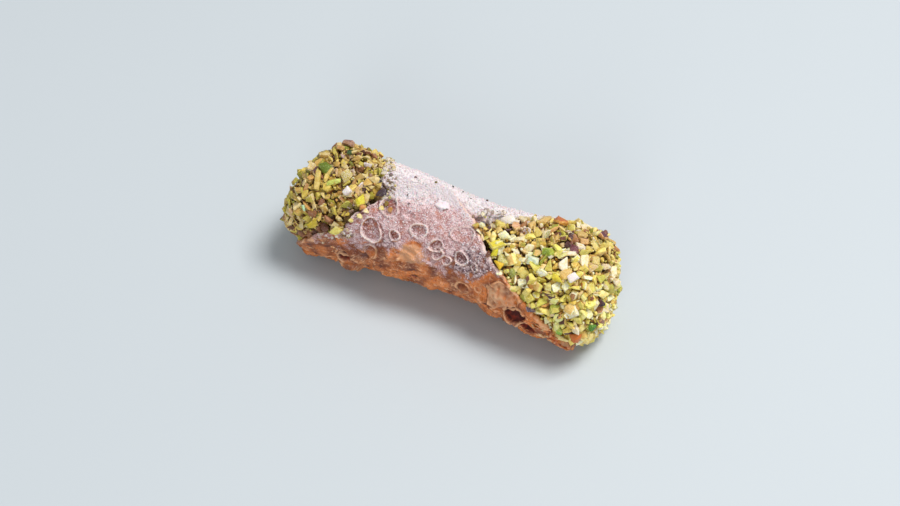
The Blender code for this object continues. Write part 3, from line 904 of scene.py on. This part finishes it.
    # The sheet's rolled edges are lighter, partly from real dusting and partly as a painted highlight; the flap's edge
    # is a painted highlight line with less sugar on it.
    edge_dust_and_highlight = (over_all > 0) * (over_all < 0.7) * np.clip(0.45 + 1.2 * speck, 0, 1)
    edge_dust_and_highlight = np.maximum(edge_dust_and_highlight, flap_edge)
    set_value(mesh, "raised", np.clip(np.maximum(spread(raised), edge_dust_and_highlight), 0, 1))
    set_value(mesh, "skin", np.clip(spread(np.maximum(skin * (0.85 - 0.3 * np.cos(patch_way) - 1.4 * folds), 0.6 * tan)), 0, 1))
    # Painted shade in the creases between blisters and in deep folds, and a darker ring just outside the tan skin's
    # edge.
    crease_shade = bare * flat_here * np.maximum((1 - large) ** 2 * (1 - lines), 0.55 * (1 - little) ** 2)
    crease_shade = np.maximum(crease_shade, bare * flat_here * np.clip((folds_large - 0.28) * 3, 0, 0.9))
    crease_shade = np.maximum(crease_shade, 0.8 * skin_edge_shade)
    # Painted shade: the bare flank darkens towards the left end.
    crease_shade = np.maximum(crease_shade, bare * 0.5 * smooth_step((-10 - along / MM) / 22))
    set_value(mesh, "crease_shade", spread(crease_shade))
    # Painted shade: a darker line along the pastry's edge by the left mouth, where the nuts stand back from it.
    mouth_gap_shade = (inner_i < 0.02) * smooth_step((turn - 10) / 8) * smooth_step((68 - turn) / 8) * 0.9
    set_value(mesh, "hollow_shade", np.clip(spread(np.maximum.reduce([hole_shade, shade * 0.85, mouth_gap_shade])), 0, 1))
    finish_piece(outer, dough_material(settings, sugar_colour), replaced=("pastry_shell",))
    return outer


def make_flakes(settings):
    """Thin splinters of dough along the lower edge of the roll, thickest by the right mouth."""
    pick = random.Random(21)
    shapes = [chopped_bit(number, pick, pick.uniform(-0.05, 0.05)) for number in range(5)]
    colours = [(226, 140, 74), (206, 112, 50), (240, 184, 130), (166, 84, 36), (236, 200, 150)]
    parts = []
    for number in range(FLAKES):
        by_mouth = number < FLAKES * 0.5
        turn = pick.uniform(99, 126) if by_mouth else pick.uniform(96, 128)
        edge = mouth(1, np.array([turn]))[0]
        along = edge - abs(pick.gauss(0, 4.5)) * MM if by_mouth else pick.uniform(-58, 44) * MM
        there = np.array([along]), np.array([turn])
        surface = dough_radius(*there) + domes(*there)
        point = on_roll(*there, surface + 0.1 * MM)[0]
        normal = (0, -math.sin(math.radians(turn)), math.cos(math.radians(turn)))
        places, tris, _ = pick.choice(shapes)
        spans = places.max(0) - places.min(0)
        length = pick.uniform(2.5, 6.5) if by_mouth else pick.uniform(1.2, 3.2)
        shape = places / spans * (length, length * pick.uniform(0.2, 0.45), length * 0.14) * MM
        lean = Vector(normal) + Vector([pick.gauss(0, 0.3) for _ in range(3)])
        lay = Quaternion((1, 0, 0), math.atan2(-lean.y, lean.z)) @ Quaternion((0, 0, 1), pick.gauss(0, 0.35))
        lay = Quaternion((0, 1, 0), pick.gauss(0, 0.2)) @ lay
        placed = inside_box(shape @ np.array(lay.to_matrix()).T + point)
        parts.append((placed, tris, np.tile(srgb(*pick.choice(colours)), (len(tris), 1)), 0.0))
    flakes = join_bits("pastry_flakes", parts)
    finish_piece(flakes, flake_material(), smooth_angle=38)


# ---------------------------------------------------------------------------------------------------
# The nuts

FLESH = (
    (srgb(250, 240, 196), 7), (srgb(248, 234, 152), 7), (srgb(240, 226, 122), 5), (srgb(224, 220, 114), 3),
    (srgb(250, 242, 206), 2), (srgb(198, 200, 84), 2), (srgb(232, 192, 124), 1), (srgb(156, 170, 64), 1),
)
BROWN = (
    (srgb(176, 128, 100), 3), (srgb(150, 104, 78), 2), (srgb(232, 206, 176), 3), (srgb(206, 168, 118), 3),
    (srgb(112, 70, 62), 1),
)
# Tints of each end's nuts: the left browner and darker, the right lighter. This is partly their own colour and partly
# painted light and shade, the right end painted brighter as the better lit one.
LEFT_SHADE = (0.87, 0.76, 0.62)
RIGHT_SHADE = (1.22, 1.14, 1.3)
SKIN = (
    (srgb(212, 208, 100), 6), (srgb(170, 176, 68), 2), (srgb(188, 140, 92), 1.5), (srgb(140, 92, 74), 1),
    (srgb(88, 52, 56), 0.8), (srgb(224, 196, 118), 4),
)


def weighted(pick, choices):
    return pick.choices([c for c, _ in choices], [w for _, w in choices])[0]


def chopped_bit(number, pick, thickness):
    """One bit of a chopped kernel: a curved piece of its skin, and cut faces with worn edges."""
    deselect()
    bpy.ops.mesh.primitive_ico_sphere_add(subdivisions=2, radius=1.0, location=(0, 0, 0))
    bit = take_new(f"bit_{number}")
    kernel = np.array((1.25, 0.95, 0.85))
    set_places(bit.data, get_places(bit.data) * kernel)
    bpy.ops.object.mode_set(mode="EDIT")
    middle = Vector((pick.uniform(-0.3, 0.3), pick.uniform(-0.2, 0.2), 0.5))
    turn0 = pick.uniform(0, math.tau)
    sides = pick.choice((3, 4, 4, 5))
    cuts = []
    for k in range(sides):
        angle = turn0 + math.tau * k / sides + pick.uniform(-0.3, 0.3)
        out = Vector((math.cos(angle), math.sin(angle), pick.uniform(-0.4, 0.4))).normalized()
        cuts.append((out, pick.uniform(0.26, 0.5)))
    cuts.append((Vector((pick.uniform(-0.4, 0.4), pick.uniform(-0.4, 0.4), -1)).normalized(), thickness))
    for out, reach in cuts:
        bpy.ops.mesh.select_all(action="SELECT")
        bpy.ops.mesh.bisect(plane_co=middle + out * reach, plane_no=out, use_fill=True, clear_outer=True)
    bpy.ops.mesh.select_all(action="SELECT")
    bpy.ops.mesh.dissolve_limited(angle_limit=math.radians(24))
    bpy.ops.mesh.select_mode(type="EDGE")
    bpy.ops.mesh.select_all(action="DESELECT")
    bpy.ops.mesh.edges_select_sharp(sharpness=math.radians(42))
    bpy.ops.mesh.bevel(offset=0.075, segments=1, affect="EDGES")
    bpy.ops.mesh.select_mode(type="VERT")
    bpy.ops.mesh.select_all(action="SELECT")
    bpy.ops.mesh.remove_doubles(threshold=0.02)
    bpy.ops.mesh.quads_convert_to_tris()
    bpy.ops.mesh.normals_make_consistent(inside=False)
    bpy.ops.object.mode_set(mode="OBJECT")
    mesh = bit.data
    places = get_places(mesh)
    faces = np.array([tuple(p.vertices) for p in mesh.polygons])
    normals = np.array([tuple(p.normal) for p in mesh.polygons])
    # What still faces out from the kernel's middle is skin.
    radial = places[faces].mean(axis=1) / kernel**2
    size = np.linalg.norm(radial, axis=1, keepdims=True)
    on_skin = (np.sum(radial / size * normals, axis=1) > 0.93) & (size[:, 0] > 0.8)
    places -= (places.max(0) + places.min(0)) / 2
    places /= (places.max(0) - places.min(0)).max()
    places *= 1 + 0.08 * np.array([[pick.uniform(-1, 1) for _ in range(3)] for _ in places])
    bpy.data.objects.remove(bit, do_unlink=True)
    bpy.data.meshes.remove(mesh)
    return places, faces, on_skin


def crumb_shape(pick):
    """A small angular crumb, of few faces."""
    deselect()
    bpy.ops.mesh.primitive_ico_sphere_add(subdivisions=1, radius=0.5, location=(0, 0, 0))
    crumb = take_new("crumb")
    places = get_places(crumb.data) * (1, pick.uniform(0.7, 1), pick.uniform(0.5, 0.9))
    places *= 1 + 0.3 * np.array([[pick.uniform(-1, 1)] * 3 for _ in places])
    faces = np.array([tuple(p.vertices) for p in crumb.data.polygons])
    mesh = crumb.data
    bpy.data.objects.remove(crumb, do_unlink=True)
    bpy.data.meshes.remove(mesh)
    return places, faces, np.zeros(len(faces), bool)


def end_grid(side):
    """A fine grid over the outside of an end: its points, normals and cell areas."""
    shares = np.linspace(0.02, 1.0, 90)
    turns = np.arange(-180, 180, 2.0)
    turn, share = np.meshgrid(turns, shares, indexing="ij")

    def points_at(t, s):
        along, radius = nut_outside(side, t, s)
        return on_roll(along, t, radius)

    points = points_at(turn, share)
    by_turn = points_at(turn + 1, share) - points_at(turn - 1, share)
    by_share = points_at(turn, np.minimum(share + 0.01, 1)) - points_at(turn, share - 0.01)
    cross = np.cross(by_turn, by_share)
    normals = cross / np.maximum(np.linalg.norm(cross, axis=-1, keepdims=True), 1e-12)
    middle = np.array(AXIS) + (side * 0.045, 0, 0)
    facing = np.sum(normals * (points - middle), axis=-1, keepdims=True)
    normals *= np.where(facing < 0, -1, 1)
    areas = np.linalg.norm(cross, axis=-1)
    return turn.ravel(), share.ravel(), points.reshape(-1, 3), normals.reshape(-1, 3), areas.ravel()


def spaced_places(side, spacing, seed, tries=14):
    """Places all over an end, at least spacing apart."""
    turn, share, points, normals, areas = end_grid(side)
    rng = np.random.default_rng(seed)
    count = int(tries * 9000 * MM * MM / spacing**2)
    chosen = rng.choice(len(areas), size=count, p=areas / areas.sum())
    taken = {}
    kept = []
    jitter = rng.normal(0, 0.3 * spacing, (count, 3))
    for index, cell in enumerate(chosen):
        point = points[cell] + jitter[index]
        point -= normals[cell] * np.dot(point - points[cell], normals[cell])
        key = tuple(np.floor(point / spacing).astype(int))
        crowded = False
        for dx in (-1, 0, 1):
            for dy in (-1, 0, 1):
                for dz in (-1, 0, 1):
                    other = taken.get((key[0] + dx, key[1] + dy, key[2] + dz))
                    if other is not None and np.sum((other - point) ** 2) < spacing**2:
                        crowded = True
                        break
        if not crowded:
            taken[key] = point
            kept.append((point, normals[cell], turn[cell], share[cell]))
    return kept


def join_bits(name, parts):
    """One mesh from many (places, faces, face tints) parts."""
    vertices, faces, tints, dusts = [], [], [], []
    offset = 0
    for places, tris, colours, dust in parts:
        vertices.append(places)
        faces.append(tris + offset)
        # The colour changes a little from corner to corner of each bit.
        changes = (0.9 + 0.2 * ((np.arange(len(places)) * 0.618 + len(vertices) * 0.37) % 1))[:, None]
        tints.append(np.repeat(colours, 3, axis=0) * changes[tris.ravel()])
        dusts.append(np.full(len(places), dust))
        offset += len(places)
    vertices = np.concatenate(vertices)
    faces = np.concatenate(faces)
    mesh = bpy.data.meshes.new(name)
    mesh.from_pydata(vertices.tolist(), [], faces.tolist())
    tint = mesh.color_attributes.new("tint", "FLOAT_COLOR", "CORNER")
    colours = np.concatenate(tints)
    tint.data.foreach_set("color", np.column_stack([colours, np.ones(len(colours))]).astype(np.float32).ravel())
    set_value(mesh, "dust", np.concatenate(dusts))
    obj = bpy.data.objects.new(name, mesh)
    bpy.context.scene.collection.objects.link(obj)
    return obj


def turned_to(normal, pick, tilt):
    """A turn that lays a bit on the surface, with some tilt and any spin."""
    lean = Vector(normal) + Vector([pick.gauss(0, tilt) for _ in range(3)])
    lay = lean.normalized().to_track_quat("Z", "Y")
    return lay @ Quaternion((0, 0, 1), pick.uniform(0, math.tau))


def inside_box(placed):
    """A bit's points, moved in where it would stand further out than the roll's own box."""
    low, high = (np.array(corner) for corner in CAD_BOX)
    return placed - np.maximum(placed.max(0) - high, 0) + np.maximum(low - placed.min(0), 0)


def nut_parts(side, spacing, sizes, depth, shade, seed, shapes, tilt=0.8, loose=0.4):
    """Bits all over an end: sizes are the smallest, usual and largest, and depth how deep they sit."""
    pick = random.Random(seed)
    parts = []
    for point, normal, turn, share in spaced_places(side, spacing, seed):
        by_gap = (side < 0 and 10 < turn < 66 and share > 0.965) or (side > 0 and 26 < turn < 52 and share > 0.98)
        if by_gap:
            continue
        places, tris, skin = pick.choice(shapes)
        size = min(pick.triangular(*sizes), 3.2 if share > 0.965 else 9) * MM
        squash = np.array((1, pick.uniform(0.65, 1), pick.uniform(0.65, 1.05)))
        turned = np.array(turned_to(normal if pick.random() < 0.45 else -normal, pick, tilt).to_matrix())
        lift = loose * (pick.gauss(0, 0.8) + (1.8 if pick.random() < 0.1 else 0))
        placed = (places * size * squash) @ turned.T + point - normal * (depth - lift) * MM
        # Bits by the pastry lean against its edge and not over it.
        placed[:, 0] += side * 0.4 * size * smooth_step((share - 0.93) / 0.06)
        flesh = np.array(weighted(pick, FLESH))
        outer = np.array(weighted(pick, SKIN))
        # The rear of the right end is the darker, browner one.
        behind = side > 0 and -70 < turn < 12
        if behind and pick.random() < 0.25:
            flesh = outer = np.array(weighted(pick, SKIN[2:]))
        # The left end holds more skin and brown bits, most of all low down by the pastry.
        if side < 0 and pick.random() < 0.14 + 0.3 * smooth_step((turn - 45) / 30) * smooth_step((share - 0.6) / 0.3):
            flesh = outer = np.array(weighted(pick, BROWN))
        light = pick.uniform(0.85, 1.1) * np.array(shade) * (0.82 if behind else 1)
        colours = np.where(skin[:, None], outer, flesh) * light
        up = max(normal[2], 0)
        near_edge = smooth_step((share - 0.62) / 0.38)
        dust = 0.65 * pick.random() ** 2.6 * up + 0.35 * near_edge * up * pick.random()
        parts.append((inside_box(placed), tris, np.clip(colours, 0, 1), float(dust)))
    return parts


def end_frame(side, turn, share):
    """A place on an end, and the way out of it."""

    def at(turn_there, share_there):
        along, radius = nut_outside(side, np.array([turn_there]), np.array([share_there]))
        return on_roll(along, np.array([turn_there]), radius)[0]

    point = at(turn, share)
    normal = np.cross(at(turn + 1, share) - point, at(turn, share - 0.01) - point)
    normal /= np.linalg.norm(normal)
    outward = point - np.array(AXIS) - (side * 0.045, 0, 0)
    return point, normal if np.dot(normal, outward) > 0 else -normal


def marked_parts(side, marked, shapes, seed):
    """The bits that stand out, laid flat on top of the others."""
    pick = random.Random(seed)
    parts = []
    for turn, share, length, width, thickness, skin_colour, flesh_colour, dust in marked:
        places, tris, skin = pick.choice(shapes)
        point, normal = end_frame(side, turn, min(share, 0.999))
        spans = places.max(0) - places.min(0)
        places = places / spans * (1, width, thickness) * length * MM
        lay = np.array(turned_to(normal, pick, 0.22).to_matrix())
        placed = places @ lay.T + point + normal * 0.3 * MM
        colours = np.where(skin[:, None], srgb(*skin_colour), srgb(*flesh_colour))
        parts.append((inside_box(placed), tris, colours, dust))
    return parts


def make_nuts(settings):
    pick = random.Random(settings.seed)
    chunks = [chopped_bit(number, pick, pick.uniform(0.1, 0.35)) for number in range(12)]
    flakes = [chopped_bit(number, pick, pick.uniform(-0.02, 0.1)) for number in range(8)]
    bed_shapes = [crumb_shape(pick) for _ in range(6)]
    for side, name, spacing, shade, bed_shade, marked, shapes in (
        (-1, "nuts_left", settings.left_spacing, LEFT_SHADE, (0.24, 0.13, 0.03), MARKED_LEFT, chunks + flakes * 2),
        (1, "nuts_right", settings.right_spacing, RIGHT_SHADE, (0.42, 0.27, 0.1), MARKED_RIGHT, chunks * 2 + flakes),
    ):
        shade = np.array(shade)
        seed = settings.seed * 10 + side
        # Painted shade between the nuts: the crumbs of the bed below are coloured a deep brown, and the layer under
        # the top one is darker than the top one.
        bed = nut_parts(side, 1.7 * MM, (1.6, 2.4, 3.2), 2.4, shade * bed_shade, seed + 3, bed_shapes, 1.2)
        lower = shade * ((0.64, 0.54, 0.34) if side < 0 else (0.8, 0.7, 0.5))
        usual = 4.4 if side < 0 else 4.9
        under = nut_parts(side, spacing * 0.9, (2.6, 3.6, 4.8), 1.9, lower, seed, shapes)
        top = nut_parts(side, spacing, (2.6, usual, usual + 2.3), 1.2, shade, seed + 1, shapes)
        top += marked_parts(side, marked, flakes + chunks[:4], seed)
        crumbs = nut_parts(side, spacing * 0.9, (0.9, 1.4, 2.2), 1.1, shade, seed + 2, bed_shapes, 1.2, 0.25)
        material = nut_material(name)
        coat = "nut_coat_left" if side < 0 else "nut_coat_right"
        nuts = join_bits(name, under + top)
        finish_piece(nuts, material, smooth_angle=38, replaced=(coat,))
        small = join_bits(name + "_crumbs", bed + crumbs)
        finish_piece(small, material, smooth_angle=38)


# ---------------------------------------------------------------------------------------------------
# Sugar


def ball(subdivisions):
    """The places and faces of a small round lump, 1 across."""
    deselect()
    bpy.ops.mesh.primitive_ico_sphere_add(subdivisions=subdivisions, radius=0.5)
    lump = take_new("lump")
    places = get_places(lump.data)
    faces = np.array([tuple(p.vertices) for p in lump.data.polygons])
    bpy.data.objects.remove(lump, do_unlink=True)
    return places, faces


def make_sugar(settings, dough):
    """Small lumps of sugar on top of the dough, as thick as the dusting is, and one large clump."""
    places = np.array([(0.5, 0, 0), (0, 0.5, 0), (-0.5, 0, 0), (0, -0.5, 0), (0, 0, 0.5), (0, 0, -0.5)])
    faces = np.array([(k, (k + 1) % 4, 4) for k in range(4)] + [((k + 1) % 4, k, 5) for k in range(4)])
    rng = np.random.default_rng(5)
    mesh = dough.data
    points, normals = get_places(mesh), get_normals(mesh)
    sugar = np.empty(len(mesh.vertices), np.float32)
    mesh.attributes["sugar"].data.foreach_get("value", sugar)
    weight = np.clip(sugar.astype(float) - 0.2, 0, 1) ** 1.5 * np.clip(normals[:, 2] + 0.15, 0, 1)
    chosen = rng.choice(len(points), size=settings.grains, p=weight / weight.sum())
    vertices, tris = [], []
    for number, index in enumerate(chosen):
        size = rng.triangular(0.2, 0.32, 0.85) * MM
        shape = places * size * rng.uniform(0.7, 1.4, 3) + rng.normal(0, 0.09, (len(places), 3)) * size
        centre = points[index] + rng.normal(0, 0.16 * MM, 3)
        vertices.append(shape + centre)
        tris.append(faces + number * len(places))
    # The clump lies by the flap.
    offset = settings.grains * len(places)
    places, faces = ball(4)
    lumpy = 1 + 0.5 * rough(places, 0.4, 3) + 0.3 * rough(places, 0.15, 4)
    shape = places * lumpy[:, None] * (5.2, 4.4, 2.3) * MM
    along, turn = np.array([-3.7 * MM]), np.array([8.0])
    vertices.append(shape + on_roll(along, turn, dough_radius(along, turn) + 0.2 * MM)[0])
    tris.append(faces + offset)
    mesh = bpy.data.meshes.new("sugar_lumps")
    mesh.from_pydata(np.concatenate(vertices).tolist(), [], np.concatenate(tris).tolist())
    obj = bpy.data.objects.new("sugar_lumps", mesh)
    bpy.context.scene.collection.objects.link(obj)
    finish_piece(obj, sugar_material(settings.colour))


def make_crumbs():
    """Specks of nut and burnt dough that fell on the sugar, and dusted crumbs along both mouths."""
    pick = random.Random(8)
    shapes = [crumb_shape(pick) for _ in range(4)]
    fallen = [(*crumb, 0.1) for crumb in CRUMBS]
    for side, low, high, colours, count in STRAY_CRUMBS:
        for _ in range(count):
            turn = pick.uniform(low, high)
            edge = float(mouth(side, np.array([turn]))[0]) / MM
            along = edge - side * abs(pick.gauss(0, 2.6))
            fallen.append((along, turn, pick.triangular(0.8, 2.8, 1.5), pick.choice(colours), pick.uniform(0.2, 0.8)))
    parts = []
    for along, turn, size, colour, dust in fallen:
        places, tris, _ = pick.choice(shapes)
        there = np.array([along * MM]), wrapped(np.array([float(turn)]))
        point = on_roll(*there, dough_radius(*there) + 0.25 * MM)[0]
        colours = np.tile(srgb(*colour), (len(tris), 1))
        spin = np.array(turned_to((0, 0, 1), pick, 0.6).to_matrix())
        parts.append((inside_box((places * size * MM) @ spin.T + point), tris, colours, dust))
    finish_piece(join_bits("crumbs", parts), nut_material("crumbs"), smooth_angle=38)


# ---------------------------------------------------------------------------------------------------
# Operators


class CANNOLI_OT_cream(bpy.types.Operator):
    """Gives the cream its finish"""

    bl_idname = "cannoli.cream"
    bl_label = "Cream"

    def execute(self, context):
        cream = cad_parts["cream_filling"]
        cream.data.materials.clear()
        cream.data.materials.append(cream_material())
        return {"FINISHED"}


class CANNOLI_OT_pastry(bpy.types.Operator):
    """Rolls the blistered dough"""

    bl_idname = "cannoli.pastry"
    bl_label = "Pastry"

    def execute(self, context):
        scene = context.scene
        make_dough(scene.cannoli_dough, scene.cannoli_sugar.colour)
        make_flakes(scene.cannoli_dough)
        return {"FINISHED"}


class CANNOLI_OT_nuts(bpy.types.Operator):
    """Chops nuts and presses them onto both ends"""

    bl_idname = "cannoli.nuts"
    bl_label = "Chopped nuts"

    def execute(self, context):
        make_nuts(context.scene.cannoli_nuts)
        return {"FINISHED"}


class CANNOLI_OT_sugar(bpy.types.Operator):
    """Scatters small lumps of sugar and crumbs over the dough"""

    bl_idname = "cannoli.sugar"
    bl_label = "Sugar"

    def execute(self, context):
        make_sugar(context.scene.cannoli_sugar, bpy.data.objects["rolled_pastry"])
        make_crumbs()
        return {"FINISHED"}


AZIMUTH, ELEVATION = 25.8, 49.5
AIM = Vector((-1.57, -5.77, 0)) * MM  # right and up of the roll's middle, as the camera sees it
FRAME_WIDTH = 363 * MM  # how much the picture takes in at the roll's distance


class CANNOLI_OT_stage(bpy.types.Operator):
    """Adds the floor, the lights and the camera"""

    bl_idname = "cannoli.stage"
    bl_label = "Stage"

    def execute(self, context):
        settings = context.scene.cannoli_stage
        deselect()
        bpy.ops.mesh.primitive_plane_add(size=3)
        floor = take_new("floor")
        floor.data.materials.append(floor_material(settings.floor))
        self.add_light(context, "window", (0.78, 0.62, 2.25), 1.0, 57.0, (1.0, 0.98, 0.96))
        self.add_light(context, "room", (0.5, -2.0, 0.8), 0.7, 14.0, (1.0, 0.99, 0.98))
        world = bpy.data.worlds.new("room")
        world.use_nodes = True
        background = world.node_tree.nodes["Background"]
        background.inputs["Color"].default_value = (0.93, 0.96, 1.0, 1)
        background.inputs["Strength"].default_value = 0.38
        context.scene.world = world
        self.add_camera(context, settings.distance)
        context.scene.view_settings.view_transform = "Standard"
        return {"FINISHED"}

    def add_light(self, context, name, place, size, power, colour):
        light = bpy.data.lights.new(name, "AREA")
        light.size = size
        light.energy = power
        light.color = colour
        obj = bpy.data.objects.new(name, light)
        obj.location = place
        obj.rotation_euler = (AXIS - Vector(place)).to_track_quat("-Z", "Y").to_euler()
        context.scene.collection.objects.link(obj)

    def add_camera(self, context, distance):
        azimuth, elevation = math.radians(AZIMUTH), math.radians(ELEVATION)
        flat = Vector((math.sin(azimuth), -math.cos(azimuth), 0))
        back = flat * math.cos(elevation) + Vector((0, 0, math.sin(elevation)))
        right = Vector((math.cos(azimuth), math.sin(azimuth), 0))
        up = back.cross(right)
        camera = bpy.data.cameras.new("camera")
        camera.sensor_width = 36
        camera.lens = distance / FRAME_WIDTH * camera.sensor_width
        camera.clip_start = 0.01
        obj = bpy.data.objects.new("camera", camera)
        target = AXIS + right * AIM.x + up * AIM.y
        turn = Matrix((right, up, back)).transposed().to_4x4()
        obj.matrix_world = Matrix.Translation(target + back * distance) @ turn
        context.scene.collection.objects.link(obj)
        context.scene.camera = obj


class CANNOLI_PT_panel(bpy.types.Panel):
    """Lists the pieces of the cannoli and their settings"""

    bl_label = "Cannoli"
    bl_idname = "CANNOLI_PT_panel"
    bl_space_type = "VIEW_3D"
    bl_region_type = "UI"
    bl_category = "Cannoli"

    def draw(self, context):
        layout = self.layout
        for operator in STEPS:
            layout.operator(operator.bl_idname)
        for settings in (context.scene.cannoli_dough, context.scene.cannoli_nuts):
            for name in settings.__annotations__:
                layout.prop(settings, name)


STEPS = (CANNOLI_OT_cream, CANNOLI_OT_pastry, CANNOLI_OT_nuts, CANNOLI_OT_sugar, CANNOLI_OT_stage)
SETTINGS = {
    "cannoli_dough": DoughSettings,
    "cannoli_nuts": NutSettings,
    "cannoli_sugar": SugarSettings,
    "cannoli_stage": StageSettings,
}
CLASSES = (*SETTINGS.values(), *STEPS, CANNOLI_PT_panel)


def register():
    for cls in CLASSES:
        bpy.utils.register_class(cls)
    for name, cls in SETTINGS.items():
        setattr(bpy.types.Scene, name, PointerProperty(type=cls))


def unregister():
    for name in SETTINGS:
        delattr(bpy.types.Scene, name)
    for cls in reversed(CLASSES):
        bpy.utils.unregister_class(cls)


def main():
    register()
    bpy.ops.cannoli.cream()
    bpy.ops.cannoli.pastry()
    bpy.ops.cannoli.nuts()
    bpy.ops.cannoli.sugar()
    bpy.ops.cannoli.stage()


if __name__ == "__main__":
    main()
